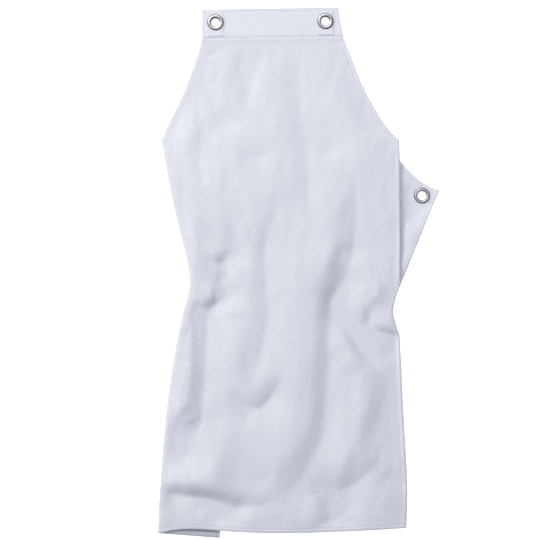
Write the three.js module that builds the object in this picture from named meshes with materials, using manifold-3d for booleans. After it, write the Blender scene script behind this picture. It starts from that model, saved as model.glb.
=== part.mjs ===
// A bib apron laid out on a table: one sheet of cloth with both sides turned under, a bound top
// edge and four eyelets. Millimetres; +X to the right of the laid apron, +Y to the bib, +Z up.
import * as THREE from "three";
import { mergeVertices } from "three/addons/utils/BufferGeometryUtils.js";
import Module from "manifold-3d";

const { clamp, lerp, smoothstep } = THREE.MathUtils;

// Cloth
const CLOTH = 1.0; // one layer
const HALF = CLOTH / 2;
const GAP = 0.3; // air between two pieces
const HEM_WIDTH = 9;
const HEM_LAYER = 0.8; // second layer of a turned hem, on the wrong side of the cloth

// Eyelets
const RING_RADIUS = 13.3;
const RING_HEIGHT = 2.0;
const BORE_RADIUS = 7.8;
const BARREL_RADIUS = 8.4;
const HOLE_RADIUS = BARREL_RADIUS + GAP;
const WASHER_RADIUS = 12.6;
const WASHER_THICK = 1.0;
const AROUND = 16; // facets around an eyelet

// Levels of the middle of each layer of cloth over the table
const LEFT_FLAP_LEVEL = HALF;
const LEFT_EYELET_LEVEL = RING_HEIGHT + GAP + HALF;
const TAB_LEVEL = 1.4;
const TAB_EYELET_LEVEL = WASHER_THICK + GAP + HALF;
const RIGHT_FLAP_OVER_TAB = 3.0;
const TAB_FOLD_LEVEL = 2.2;
const BAND_BACK_LEVEL = WASHER_THICK + GAP + HALF;
const BIB_LEVEL = BAND_BACK_LEVEL + CLOTH + GAP;
const BAND_FRONT_LEVEL = BIB_LEVEL + CLOTH + GAP;
const PATCH_LEVEL = BAND_FRONT_LEVEL + CLOTH + GAP;
const BIB_RING_LEVEL = PATCH_LEVEL + HALF + GAP;
const HEM_LEVEL = 3.5;

// Bib band, seen from above, and the patches on it
const BAND = {
  bottomLeft: [-165.2, 394.8],
  bottomRight: [76.5, 398.9],
  topLeft: [-164.4, 448.2],
  topRight: [67.2, 452.0],
  height: 53.2,
  bend: 1.8, // outside radius of the turn over the top edge
};
const PATCH = { width: 29, height: 43, corner: 2, tilt: 0.016 };

// Eyelet places
const EYELETS = {
  bibLeft: [-141.3, 425.8],
  bibRight: [45.7, 428.0],
  tabRight: [210.3, 131.2],
  tabLeft: [-111.5, 162.0],
};

// Outline of the front: armhole edges above the corner row, turned folds below it
const CORNER_Y = 225;
const HEM_Y = -440;
const LEFT_ARMHOLE = [
  { y: 394, x: -165.4 },
  { y: 361.5, x: -175.9 },
  { y: 327.5, x: -187.9 },
  { y: 293.5, x: -201.5 },
  { y: 259.5, x: -218.5 },
  { y: 225, x: -233.6 },
];
const RIGHT_ARMHOLE = [
  { y: 394, x: 77.6 },
  { y: 361.5, x: 91.0 },
  { y: 327.5, x: 104.6 },
  { y: 293.5, x: 121.6 },
  { y: 259.5, x: 142.0 },
  { y: 240, x: 157.0 },
  { y: 225, x: 171.2 },
];
const LEFT_FOLD = [
  { y: 225, x: -233.6 },
  { y: 145.6, x: -218.5 },
  { y: 89.5, x: -206.6 },
  { y: 21.5, x: -189.6 },
  { y: -21, x: -185.6 },
  { y: -80.5, x: -199.8 },
  { y: -131.5, x: -210.0 },
  { y: -199.5, x: -220.2 },
  { y: -267.5, x: -227.8 },
  { y: -386.5, x: -236.6 },
  { y: -440, x: -239.0 },
];
const RIGHT_FOLD = [
  { y: 225, x: 171.2 },
  { y: 191.5, x: 171.7 },
  { y: -17.6, x: 171.7 },
  { y: -46.5, x: 164.1 },
  { y: -66.9, x: 160.7 },
  { y: -94.1, x: 167.5 },
  { y: -107.7, x: 171.7 },
  { y: -233.5, x: 178.2 },
  { y: -369.5, x: 185.0 },
  { y: -440, x: 183.3 },
];
const HEM_LINE = [
  { x: -239.0, y: -443.9 },
  { x: -202.6, y: -437.2 },
  { x: -169.2, y: -436.5 },
  { x: -102.5, y: -441.2 },
  { x: -26.5, y: -443.3 },
  { x: 94.9, y: -439.5 },
  { x: 183.3, y: -434.8 },
];

// Turned parts under the front
const LEFT_TIP = [-86.5, 182.0];
const LEFT_FOOT = [-134.3, -451.8];
const LEFT_ARMHOLE_BOW = 5;
const TAB_FOLD_TOP = [158.1, 203.4];
const TAB_FOLD_END = [61.2, -289.6];
const RIGHT_FOOT = [58.7, -434.8];
const TAB_TIP = [239.7, 140.5];
const TAB_HEEL = [64.6, -288.0];

// Heights of the front: the lift of the middle and of the two edges
const LIFT = [
  { y: 446, middle: BIB_LEVEL, left: BIB_LEVEL, right: BIB_LEVEL },
  { y: 390, middle: BIB_LEVEL, left: BIB_LEVEL, right: BIB_LEVEL },
  { y: 330, middle: 6.5, left: 1.6, right: 1.6 },
  { y: 250, middle: 10.0, left: 1.5, right: 2.0 },
  { y: 225, middle: 11.5, left: 2.6, right: 3.9 },
  { y: 160, middle: 15.0, left: 5.0, right: 3.9 },
  { y: -30, middle: 16.0, left: 5.0, right: 3.9 },
  { y: -90, middle: 16.0, left: 5.0, right: 2.6 },
  { y: -390, middle: 15.0, left: 5.0, right: 2.4 },
  { y: -440, middle: 15.0, left: 2.1, right: 2.1 },
];
const LEFT_ROLL = 34; // width of the soft roll at the left fold
const RIGHT_ROLL = 5;
const RIGHT_SLOPE = 75;
const ARMHOLE_SLOPE = 60;
const HEM_SLOPE = 48;

// Folds of the front. A row is one fold: the line it follows, its rise, how far it reaches to the
// left and right of that line, the shares of the line over which it fades, and its roundness.
const FOLDS = [
  {
    name: "long valley, upper part", path: [[105, 205], [99, 124], [94, 50]],
    rise: -7, left: 37, right: 41, fadeIn: 0.7, fadeOut: 0.3, round: 1.5,
  },
  {
    name: "long valley",
    path: [[98, 56], [81, 8], [55, -45], [50, -106], [50, -216], [35, -288], [6, -352], [-31, -385]],
    rise: -14, left: 58, right: 32, fadeIn: 0.15, fadeOut: 0.25, round: 1.35,
  },
  {
    name: "lobe", path: [[-123, -97], [-113, -216], [-130, -310]],
    rise: 8, left: 105, right: 51, fadeIn: 0.45, fadeOut: 0.35, round: 2,
  },
  {
    name: "brow over the hem crease", path: [[-235, -342], [-142, -352], [-62, -356]],
    rise: 9, left: 44, right: 20, fadeIn: 0.2, fadeOut: 0.4, round: 2,
  },
  {
    name: "hem crease",
    path: [[-249, -369], [-205, -380], [-154, -386], [-127, -398], [-99, -402], [-48, -390]],
    rise: -11, left: 19, right: 14, fadeIn: 0.12, fadeOut: 0.3, round: 1.3,
  },
  {
    name: "left valley", path: [[-154, -53], [-156, -106], [-157, -216], [-171, -269]],
    rise: -10, left: 58, right: 26, fadeIn: 0.25, fadeOut: 0.25, round: 1.35,
  },
  {
    name: "left dip", path: [[-161, 98], [-145, 50], [-127, 18]],
    rise: -6, left: 31, right: 20, fadeIn: 0.6, fadeOut: 0.2, round: 1.5,
  },
  {
    name: "left chin", path: [[-147, -16], [-116, -31], [-82, -67]],
    rise: 5, left: 27, right: 15, fadeIn: 0.3, fadeOut: 0.4, round: 1.8,
  },
  {
    name: "pouch", path: [[-118, -184], [-94, -218], [-71, -230], [-52, -215], [-31, -182]],
    rise: -8, left: 22, right: 37, fadeIn: 0.35, fadeOut: 0.35, round: 1.4,
  },
  {
    name: "centre streak", path: [[-45, 112], [-59, 10], [-62, -40]],
    rise: -4, left: 31, right: 20, fadeIn: 0.4, fadeOut: 0.4, round: 1.5,
  },
  {
    name: "centre streak, lower part", path: [[-50, -50], [-48, -106], [-62, -182]],
    rise: -5, left: 27, right: 20, fadeIn: 0.4, fadeOut: 0.35, round: 1.5,
  },
  {
    name: "right shelf", path: [[55, -53], [88, -106], [139, -172]],
    rise: -6, left: 20, right: 15, fadeIn: 0.2, fadeOut: 0.35, round: 1.4,
  },
  {
    name: "right crease", path: [[118, -99], [142, -106], [183, -108]],
    rise: -9, left: 12, right: 20, fadeIn: 0.25, fadeOut: 0.05, round: 1.3,
  },
  {
    name: "right bulge", path: [[71, -46], [91, -131], [91, -250]],
    rise: 5, left: 58, right: 34, fadeIn: 0.3, fadeOut: 0.4, round: 2,
  },
  {
    name: "lower right valley", path: [[179, -169], [161, -271], [128, -344], [64, -388]],
    rise: -10, left: 20, right: 42, fadeIn: 0.35, fadeOut: 0.1, round: 1.5,
  },
  {
    name: "lower right hollow", path: [[26, -369], [47, -407], [65, -424], [94, -417]],
    rise: -5, left: 15, right: 14, fadeIn: 0.35, fadeOut: 0.35, round: 1.5,
  },
  {
    name: "bib streak", path: [[18, 396], [8, 328], [11, 209], [20, 90], [18, 25]],
    rise: -4.5, left: 44, right: 22, fadeIn: 0.12, fadeOut: 0.2, round: 1.5,
  },
  {
    name: "bib dip", path: [[-76, 389], [-76, 328], [-88, 263]],
    rise: -4, left: 34, right: 24, fadeIn: 0.15, fadeOut: 0.3, round: 1.6,
  },
  {
    name: "bib strip", path: [[-161, 321], [-164, 243], [-156, 149]],
    rise: -3.5, left: 44, right: 26, fadeIn: 0.35, fadeOut: 0.4, round: 1.6,
  },
];
const TAB_RIDGE = {
  name: "tab ridge", path: [[184, 40], [192, 70], [196, 92]],
  rise: 3, left: 12, right: 12, fadeIn: 0.4, fadeOut: 0.4, round: 2,
};

// Mesh of the sheet: rows from the bib to the hem, columns set in from the edges
const BAND_ROWS = [48.5, 25, 1]; // over the lower edge of the band
const BIB_STEPS = 9;
const SKIRT_STEPS = 33;
const EDGE_INSETS = [0, 4, 9, 10.5, 21, 33];
const MIDDLE_COLUMNS = 18;

const CLOTH_COLOUR = 0xe3e5ee;
const METAL_COLOUR = 0xb9bcc3;

const ease = (t) => smoothstep(t, 0, 1);
const mix = (a, b, t) => [lerp(a[0], b[0], t), lerp(a[1], b[1], t)];
const spread = (from, to, steps) => Array.from({ length: steps + 1 }, (_, k) => lerp(from, to, k / steps));
const quarterRound = (inset, roll) => Math.sqrt(1 - (1 - clamp(inset / roll, 0, 1)) ** 2);

// Smooth curve through a table that is ordered along the column "by".
function through(table, by, value, at) {
  const down = table[0][by] > table[1][by] ? -1 : 1;
  let k = 0;
  while (k < table.length - 2 && (at - table[k + 1][by]) * down > 0) k++;
  const slope = (a, b) => (table[b][value] - table[a][value]) / (table[b][by] - table[a][by]);
  const tangent = (n) => slope(Math.max(n - 1, 0), Math.min(n + 1, table.length - 1));
  const span = table[k + 1][by] - table[k][by];
  const t = clamp((at - table[k][by]) / span, 0, 1);
  const blend = 3 * t ** 2 - 2 * t ** 3;
  const leave = (t ** 3 - 2 * t ** 2 + t) * span * tangent(k);
  const arrive = (t ** 3 - t ** 2) * span * tangent(k + 1);
  return lerp(table[k][value], table[k + 1][value], blend) + leave + arrive;
}

// Eased steps through a table of heights, flat at each row of it.
function stepped(table, value, y) {
  let k = 0;
  while (k < table.length - 2 && y < table[k + 1].y) k++;
  return lerp(table[k][value], table[k + 1][value], ease((table[k].y - y) / (table[k].y - table[k + 1].y)));
}

function lineOf(fold) {
  const points = fold.path.map(([x, y]) => new THREE.Vector2(x, y));
  return new THREE.SplineCurve(points).getPoints(6 * (points.length - 1));
}

function foldHeight(fold, line, x, y) {
  let nearest = Infinity;
  let side = 0;
  let along = 0;
  for (let k = 0; k + 1 < line.length; k++) {
    const ex = line[k + 1].x - line[k].x;
    const ey = line[k + 1].y - line[k].y;
    const t = clamp(((x - line[k].x) * ex + (y - line[k].y) * ey) / (ex * ex + ey * ey), 0, 1);
    const dx = x - line[k].x - t * ex;
    const dy = y - line[k].y - t * ey;
    const distance = Math.hypot(dx, dy);
    if (distance < nearest) {
      nearest = distance;
      side = ex * dy - ey * dx;
      along = (k + t) / (line.length - 1);
    }
  }
  const taper = ease(along / fold.fadeIn) * ease((1 - along) / fold.fadeOut);
  const reach = (side > 0 ? fold.left : fold.right) * (0.35 + 0.65 * taper);
  return fold.rise * taper * Math.exp(-((nearest / reach) ** fold.round));
}

const foldLines = FOLDS.map(lineOf);
const tabRidgeLine = lineOf(TAB_RIDGE);

const plateau = (place, x, y) => 1 - smoothstep(Math.hypot(x - place[0], y - place[1]), 36, 72);

function leftFlapLevel(x, y) {
  return lerp(LEFT_FLAP_LEVEL, LEFT_EYELET_LEVEL, plateau(EYELETS.tabLeft, x, y));
}

// Signed distance to the side edge of the tab, positive on the tab.
function overTab(x, y) {
  const ex = TAB_HEEL[0] - TAB_TIP[0];
  const ey = TAB_HEEL[1] - TAB_TIP[1];
  return (ey * (x - TAB_TIP[0]) - ex * (y - TAB_TIP[1])) / Math.hypot(ex, ey);
}

function rightFlapLevel(x, y) {
  return lerp(HALF, RIGHT_FLAP_OVER_TAB, smoothstep(overTab(x, y), -34, -6));
}

function tabLevel(x, y) {
  const near = plateau(EYELETS.tabRight, x, y);
  const ridge = foldHeight(TAB_RIDGE, tabRidgeLine, x, y) * (1 - near);
  return lerp(TAB_LEVEL, TAB_EYELET_LEVEL, near) + ridge;
}

// The lowest the front may lie, over whatever is turned under it.
function restLevel(x, y) {
  const step = CLOTH + GAP + 0.1;
  const washer = (WASHER_THICK + GAP) * plateau(EYELETS.tabLeft, x, y);
  if (x < -60) return leftFlapLevel(x, y) + washer + step;
  if (x > 30) return rightFlapLevel(x, y) + step;
  return HALF + step;
}

function frontLevel(x, y, leftX, rightX) {
  const turned = 1 - smoothstep(y, CORNER_Y - 25, CORNER_Y + 15);
  const leftInset = x - leftX;
  const rightInset = rightX - x;
  const edge = lerp(stepped(LIFT, "left", y), stepped(LIFT, "right", y), leftInset / (rightX - leftX));
  const rightTurn = 0.3 * quarterRound(rightInset, RIGHT_ROLL) + 0.7 * ease(rightInset / RIGHT_SLOPE);
  const leftRise = lerp(ease(leftInset / ARMHOLE_SLOPE), quarterRound(leftInset, LEFT_ROLL), turned);
  const rightRise = lerp(ease(rightInset / ARMHOLE_SLOPE), rightTurn, turned);
  const below = 1 - smoothstep(y, 350, 392);
  const folds = FOLDS.reduce((sum, fold, k) => sum + foldHeight(fold, foldLines[k], x, y), 0);
  const middle = stepped(LIFT, "middle", y) + below * folds;
  const inside = leftRise * rightRise;
  const free = lerp(edge, middle, inside);
  const z = lerp(HEM_LEVEL, free, Math.max(ease((y - HEM_Y) / HEM_SLOPE), 1 - inside));
  const rest = restLevel(x, y);
  const lifted = rest + Math.log1p(Math.exp(1.2 * (z - rest))) / 1.2;
  return lerp(z, lifted, 1 - smoothstep(y, CORNER_Y, CORNER_Y + 60));
}

function bandPoint(u, v) {
  return mix(mix(BAND.bottomLeft, BAND.bottomRight, u), mix(BAND.topLeft, BAND.topRight, u), v / BAND.height);
}

// Insets from both edges, then even columns between them.
function columnsAcross(width) {
  const near = EDGE_INSETS;
  const middle = spread(near.at(-1), width - near.at(-1), MIDDLE_COLUMNS + 1).slice(1, -1);
  return [...near, ...middle, ...near.toReversed().map((inset) => width - inset)];
}

function frontRow(y) {
  const armhole = y > CORNER_Y;
  const leftX = through(armhole ? LEFT_ARMHOLE : LEFT_FOLD, "y", "x", y);
  const rightX = through(armhole ? RIGHT_ARMHOLE : RIGHT_FOLD, "y", "x", y);
  const width = rightX - leftX;
  return columnsAcross(width).map((inset) => {
    const x = leftX + inset;
    const tilt = PATCH.tilt * (x + 46) * smoothstep(y, 230, 390);
    const dip = (through(HEM_LINE, "x", "y", x) - HEM_Y) * (1 - smoothstep(y, HEM_Y, HEM_Y + 60));
    const atEdge = Math.min(inset, width - inset) <= HEM_WIDTH;
    const hem = y < HEM_Y + HEM_WIDTH + 0.1 || (armhole && atEdge);
    const z = frontLevel(x, y, leftX, rightX);
    return { x, y: y + tilt + dip, z, hem };
  });
}

function bandRow(v) {
  const width = BAND.bottomRight[0] - BAND.bottomLeft[0];
  return columnsAcross(width).map((inset) => {
    const [x, y] = bandPoint(lerp(0.008, 0.992, inset / width), v);
    return { x, y, z: BIB_LEVEL, hem: false };
  });
}

// Points of a turned part on the way from its fold to its other edge, sagging by a bow between.
function turnedRow(from, to, insets, level, fold, bow) {
  const width = Math.hypot(to[0] - from[0], to[1] - from[1]);
  const scale = Math.min(1, width / 60);
  const fullWidth = width / scale;
  return insets(fullWidth).map((inset) => {
    const share = inset / fullWidth;
    const x = lerp(from[0], to[0], share);
    const y = lerp(from[1], to[1], share) - 4 * bow * share * (1 - share);
    const flat = level(x, y);
    const z = lerp(fold, flat, quarterRound(inset * scale, 9));
    return { x, y, z, sideHem: inset > fullWidth - HEM_WIDTH - 0.1 };
  });
}

const skirt = spread(CORNER_Y - 27, HEM_Y + HEM_WIDTH + 1.5, SKIRT_STEPS);
const armholeRows = [CORNER_Y, CORNER_Y - HEM_WIDTH, CORNER_Y - HEM_WIDTH - 1.5];
const turnedRows = [...armholeRows, ...skirt, HEM_Y + HEM_WIDTH, HEM_Y];
const bibRows = spread(391, CORNER_Y, BIB_STEPS).slice(0, -1);

const leftInsets = (width) => [5, width / 2 - 23, width - 46, width - 10.5, width - HEM_WIDTH, width];
const rightInsets = (width) => [5, width / 3, (2 * width) / 3, width - HEM_WIDTH, width];
const tabInsets = (width) => [9, width - 46, width - 10.5, width - HEM_WIDTH, width];

// One row of the whole sheet: left flap, front, right flap, tab.
function turnedSheetRow(y) {
  const front = frontRow(y);
  const share = (CORNER_Y - y) / (CORNER_Y - HEM_Y);
  const atArmhole = y > CORNER_Y - HEM_WIDTH - 0.1;
  const atHem = y < HEM_Y + HEM_WIDTH + 0.1;

  const first = front[0];
  const leftEnd = mix(LEFT_TIP, LEFT_FOOT, share);
  const leftBow = LEFT_ARMHOLE_BOW * Math.max(0, 1 - 4 * share) ** 2;
  const left = turnedRow([first.x, first.y], leftEnd, leftInsets, leftFlapLevel, first.z, leftBow);
  left.forEach((point) => {
    point.hem = atArmhole || atHem || point.sideHem;
  });

  const last = front.at(-1);
  const tabShare = (CORNER_Y - y) / (CORNER_Y - TAB_FOLD_END[1]);
  const footShare = (TAB_FOLD_END[1] - y) / (TAB_FOLD_END[1] - HEM_Y);
  const onTab = tabShare <= 1;
  const fold = onTab ? mix(TAB_FOLD_TOP, TAB_FOLD_END, tabShare) : mix(TAB_FOLD_END, RIGHT_FOOT, footShare);
  const right = turnedRow([last.x, last.y], fold, rightInsets, rightFlapLevel, last.z, 0);
  right.forEach((point) => {
    point.hem = atArmhole || atHem || (!onTab && point.sideHem);
  });
  if (!onTab) return [left.toReversed(), front, right].flat();

  right.at(-1).z = TAB_FOLD_LEVEL;
  const side = mix(TAB_TIP, TAB_HEEL, tabShare);
  const tab = turnedRow(fold, side, tabInsets, tabLevel, TAB_FOLD_LEVEL, 0);
  tab.forEach((point) => {
    point.hem = atArmhole || point.sideHem;
  });
  return [left.toReversed(), front, right, tab].flat();
}

// Two triangles for each cell between neighbouring rows that both have it.
function sheetOf(rows) {
  const points = [];
  const faces = [];
  const index = rows.map((row) => row.cells.map((point) => points.push(point) - 1));
  for (let j = 0; j + 1 < rows.length; j++) {
    const shift = rows[j].first - rows[j + 1].first;
    for (let i = 0; i + 1 < index[j].length; i++) {
      const a = index[j][i];
      const b = index[j][i + 1];
      const c = index[j + 1][i + shift];
      const d = index[j + 1][i + shift + 1];
      if (d === undefined) continue;
      faces.push([a, c, d], [a, d, b]);
    }
  }
  return { points, faces };
}

// Gives a sheet its wall: outer and inner skins and the rim between them.
function thicken({ points, faces }) {
  const normals = points.map(() => new THREE.Vector3());
  const at = (k) => new THREE.Vector3(points[k].x, points[k].y, points[k].z);
  const open = new Map();
  for (const [a, b, c] of faces) {
    const normal = at(b).sub(at(a)).cross(at(c).sub(at(a)));
    [a, b, c].forEach((k) => normals[k].add(normal));
    for (const [from, to] of [[a, b], [b, c], [c, a]]) {
      if (!open.delete(`${to} ${from}`)) open.set(`${from} ${to}`, [from, to]);
    }
  }
  normals.forEach((normal) => normal.normalize());
  const skin = (out) => points.map((point, k) => at(k).addScaledVector(normals[k], out(point)));
  const outer = skin(() => HALF);
  const inner = skin((point) => -HALF - (point.hem ? HEM_LAYER : 0));
  const count = points.length;
  const triangles = faces.flatMap(([a, b, c]) => [a, b, c, a + count, c + count, b + count]);
  for (const [from, to] of open.values()) {
    triangles.push(to, from, from + count, to, from + count, to + count);
  }
  return new THREE.BufferGeometry().setFromPoints([...outer, ...inner]).setIndex(triangles);
}

const wasm = await Module();
wasm.setup();

function solidOf(geometry) {
  const bare = new THREE.BufferGeometry();
  bare.setAttribute("position", geometry.getAttribute("position"));
  if (geometry.index) bare.setIndex(geometry.index);
  const merged = mergeVertices(bare, 1e-4);
  const vertProperties = new Float32Array(merged.getAttribute("position").array);
  const triVerts = new Uint32Array(merged.index.array);
  return new wasm.Manifold(new wasm.Mesh({ numProp: 3, vertProperties, triVerts }));
}

function geometryOf(solid) {
  const mesh = solid.getMesh();
  const geometry = new THREE.BufferGeometry();
  geometry.setAttribute("position", new THREE.BufferAttribute(mesh.vertProperties, 3));
  geometry.setIndex(new THREE.BufferAttribute(mesh.triVerts, 1));
  geometry.computeVertexNormals();
  return geometry;
}

// Opens eyelet holes between two heights.
function pierce(geometry, places, bottom, top) {
  const cut = places.reduce((solid, [x, y]) => {
    const drill = new THREE.CylinderGeometry(HOLE_RADIUS, HOLE_RADIUS, top - bottom, AROUND);
    drill.rotateX(Math.PI / 2);
    drill.translate(x, y, (top + bottom) / 2);
    return solid.subtract(solidOf(drill));
  }, solidOf(geometry));
  return geometryOf(cut);
}

function panelGeometry() {
  const flap = leftInsets(1).length;
  const rows = [
    ...BAND_ROWS.map((v) => ({ first: flap, cells: bandRow(v) })),
    ...bibRows.map((y) => ({ first: flap, cells: frontRow(y) })),
    ...turnedRows.map((y) => ({ first: 0, cells: turnedSheetRow(y) })),
  ];
  const whole = thicken(sheetOf(rows));
  const bib = pierce(whole, [EYELETS.bibLeft, EYELETS.bibRight, EYELETS.tabRight], -2, 6);
  return pierce(bib, [EYELETS.tabLeft], -2, LEFT_EYELET_LEVEL + 1.2);
}

// Section of the band in its own height and level, swept from its left end to its right end.
function bandGeometry() {
  const turn = BAND.height - BAND.bend;
  const arc = (radius, turns) => turns.map((t) => {
    const angle = lerp(-Math.PI / 2, Math.PI / 2, t);
    return [turn + radius * Math.cos(angle), BIB_LEVEL + radius * Math.sin(angle)];
  });
  const turns = spread(0, 1, 4);
  const inside = BAND.bend - CLOTH;
  const section = [
    [0, BIB_LEVEL - BAND.bend],
    ...arc(BAND.bend, turns),
    [0, BIB_LEVEL + BAND.bend],
    [0, BIB_LEVEL + inside],
    ...arc(inside, turns.toReversed()),
    [0, BIB_LEVEL - inside],
  ];
  const steps = 10;
  const count = section.length;
  const points = spread(0, 1, steps).flatMap((u) => section.map(([v, z]) => [...bandPoint(u, v), z]));
  const triangles = [];
  for (let k = 0; k < steps; k++) {
    for (let n = 0; n < count; n++) {
      const a = k * count + n;
      const b = k * count + ((n + 1) % count);
      triangles.push(a, b, a + count, b, b + count, a + count);
    }
  }
  const outline = section.map(([v, z]) => new THREE.Vector2(v, z));
  for (const [a, b, c] of THREE.ShapeUtils.triangulateShape(outline, [])) {
    const end = steps * count;
    triangles.push(a, c, b, a + end, b + end, c + end);
  }
  const geometry = new THREE.BufferGeometry();
  geometry.setAttribute("position", new THREE.Float32BufferAttribute(points.flat(), 3));
  geometry.setIndex(triangles);
  return pierce(geometry, [EYELETS.bibLeft, EYELETS.bibRight], -2, 10);
}

function patchGeometry([x, y]) {
  const w = PATCH.width / 2;
  const h = PATCH.height / 2;
  const r = PATCH.corner;
  const shape = new THREE.Shape();
  shape.moveTo(-w + r, -h);
  shape.lineTo(w - r, -h);
  shape.quadraticCurveTo(w, -h, w, -h + r);
  shape.lineTo(w, h - r);
  shape.quadraticCurveTo(w, h, w - r, h);
  shape.lineTo(-w + r, h);
  shape.quadraticCurveTo(-w, h, -w, h - r);
  shape.lineTo(-w, -h + r);
  shape.quadraticCurveTo(-w, -h, -w + r, -h);
  const geometry = new THREE.ExtrudeGeometry(shape, { depth: CLOTH, bevelEnabled: false, curveSegments: 2 });
  geometry.rotateZ(PATCH.tilt);
  geometry.translate(x, y - 2.8, PATCH_LEVEL - HALF);
  return pierce(geometry, [[x, y]], 0, 10);
}

function turned(profile) {
  const points = [...profile, profile[0]].map(([radius, height]) => new THREE.Vector2(radius, height));
  const geometry = new THREE.LatheGeometry(points, AROUND);
  geometry.rotateX(Math.PI / 2);
  return geometryOf(solidOf(geometry));
}

// Rolled ring over its seat at height 0, with the barrel hanging below it.
function eyeletGeometry(barrel) {
  return turned([
    [BARREL_RADIUS, -barrel],
    [BARREL_RADIUS, 0],
    [RING_RADIUS - 0.4, 0],
    [RING_RADIUS, 0.5],
    [RING_RADIUS - 0.8, 1.4],
    [RING_RADIUS - 2.2, RING_HEIGHT],
    [RING_RADIUS - 3.8, RING_HEIGHT - 0.1],
    [BORE_RADIUS + 0.4, 1.1],
    [BORE_RADIUS, 0.2],
    [BORE_RADIUS, -barrel],
  ]);
}

function washerGeometry() {
  return turned([
    [HOLE_RADIUS, 0],
    [WASHER_RADIUS - 0.4, 0],
    [WASHER_RADIUS, 0.4],
    [WASHER_RADIUS, WASHER_THICK],
    [HOLE_RADIUS, WASHER_THICK],
  ]);
}

const apron = new THREE.Group();
apron.name = "apron";

function add(name, geometry, colour, roughness, metalness) {
  const material = new THREE.MeshStandardMaterial({ color: colour, roughness, metalness });
  const mesh = new THREE.Mesh(geometry, material);
  mesh.name = name;
  apron.add(mesh);
}

const addCloth = (name, geometry) => add(name, geometry, CLOTH_COLOUR, 0.9, 0);
const addMetal = (name, geometry) => add(name, geometry, METAL_COLOUR, 0.3, 1);

addCloth("apron_panel", panelGeometry());
addCloth("bib_band", bandGeometry());
addCloth("eyelet_patch_left", patchGeometry(EYELETS.bibLeft));
addCloth("eyelet_patch_right", patchGeometry(EYELETS.bibRight));

for (const [side, place] of [["left", EYELETS.bibLeft], ["right", EYELETS.bibRight]]) {
  addMetal(`eyelet_bib_${side}`, eyeletGeometry(BIB_RING_LEVEL - 0.2).translate(...place, BIB_RING_LEVEL));
  addMetal(`washer_bib_${side}`, washerGeometry().translate(...place, 0));
}
const tabRing = TAB_EYELET_LEVEL + HALF + GAP;
addMetal("eyelet_tab_right", eyeletGeometry(tabRing - 0.2).translate(...EYELETS.tabRight, tabRing));
addMetal("washer_tab_right", washerGeometry().translate(...EYELETS.tabRight, 0));

// The left flap lies face down, so its eyelet is turned over.
const leftWasher = LEFT_EYELET_LEVEL + HALF + GAP;
const overturned = (geometry) => geometry.rotateX(Math.PI);
const leftEyelet = overturned(eyeletGeometry(leftWasher + WASHER_THICK - 0.2 - RING_HEIGHT));
addMetal("eyelet_tab_left", leftEyelet.translate(...EYELETS.tabLeft, RING_HEIGHT));
const leftRing = overturned(washerGeometry());
addMetal("washer_tab_left", leftRing.translate(...EYELETS.tabLeft, leftWasher + WASHER_THICK));

// The origin is under the middle of the laid apron, on the table.
const box = new THREE.Box3().setFromObject(apron);
const middle = box.getCenter(new THREE.Vector3());
apron.children.forEach((mesh) => mesh.geometry.translate(-middle.x, -middle.y, -box.min.z));

export default apron;
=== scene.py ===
import math
from collections import namedtuple

import bmesh
import bpy
import numpy as np
from bpy.props import FloatProperty, FloatVectorProperty, IntProperty, PointerProperty
from mathutils import Matrix, Vector, noise
from mathutils.bvhtree import BVHTree


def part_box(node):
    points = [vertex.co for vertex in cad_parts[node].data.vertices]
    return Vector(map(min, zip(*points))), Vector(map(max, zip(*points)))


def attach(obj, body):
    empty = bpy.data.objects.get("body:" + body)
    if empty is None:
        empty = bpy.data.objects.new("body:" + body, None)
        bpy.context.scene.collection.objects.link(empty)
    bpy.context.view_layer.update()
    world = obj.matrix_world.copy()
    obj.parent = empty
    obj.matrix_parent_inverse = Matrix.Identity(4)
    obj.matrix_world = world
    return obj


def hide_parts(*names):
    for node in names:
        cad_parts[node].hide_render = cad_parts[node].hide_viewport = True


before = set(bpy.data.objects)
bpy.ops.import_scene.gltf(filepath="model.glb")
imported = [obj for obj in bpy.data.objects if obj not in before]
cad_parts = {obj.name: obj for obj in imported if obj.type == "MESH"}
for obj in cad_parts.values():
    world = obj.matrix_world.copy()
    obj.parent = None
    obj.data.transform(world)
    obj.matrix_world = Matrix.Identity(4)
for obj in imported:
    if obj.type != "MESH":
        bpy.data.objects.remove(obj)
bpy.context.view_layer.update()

bl_info = {
    "name": "Laid bib apron",
    "version": (1, 0, 0),
    "blender": (4, 5, 0),
    "location": "View3D > Sidebar > Apron",
    "description": "Builds a white bib apron laid out on a pale table",
    "category": "Object",
}

MM = 0.001
UP = Vector((0, 0, 1))


def node_centre(node):
    low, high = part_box(node)
    return (Vector(low) + Vector(high)) / 2


# Eyelets in the frame, in metres.
EYELET_PLACES = ("bib_left", "bib_right", "tab_right", "tab_left")
EYELETS = {place: node_centre(f"eyelet_{place}") for place in EYELET_PLACES}

# The tables are in millimetres on the table top, with +Y to the bib. The frame lies a small step away from
# them, which the left eyelet of the bib shows.
BIB_LEFT_EYELET = (-141.3, 425.8)
STEP = np.array(EYELETS["bib_left"].xy) / MM - BIB_LEFT_EYELET

Edge = namedtuple("Edge", "y x")
Lift = namedtuple("Lift", "y middle left right")
Turn = namedtuple("Turn", "share roll run")
Fold = namedtuple("Fold", "name path rise left right fade_in fade_out round")
Part = namedtuple("Part", "points cut edge")

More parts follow.
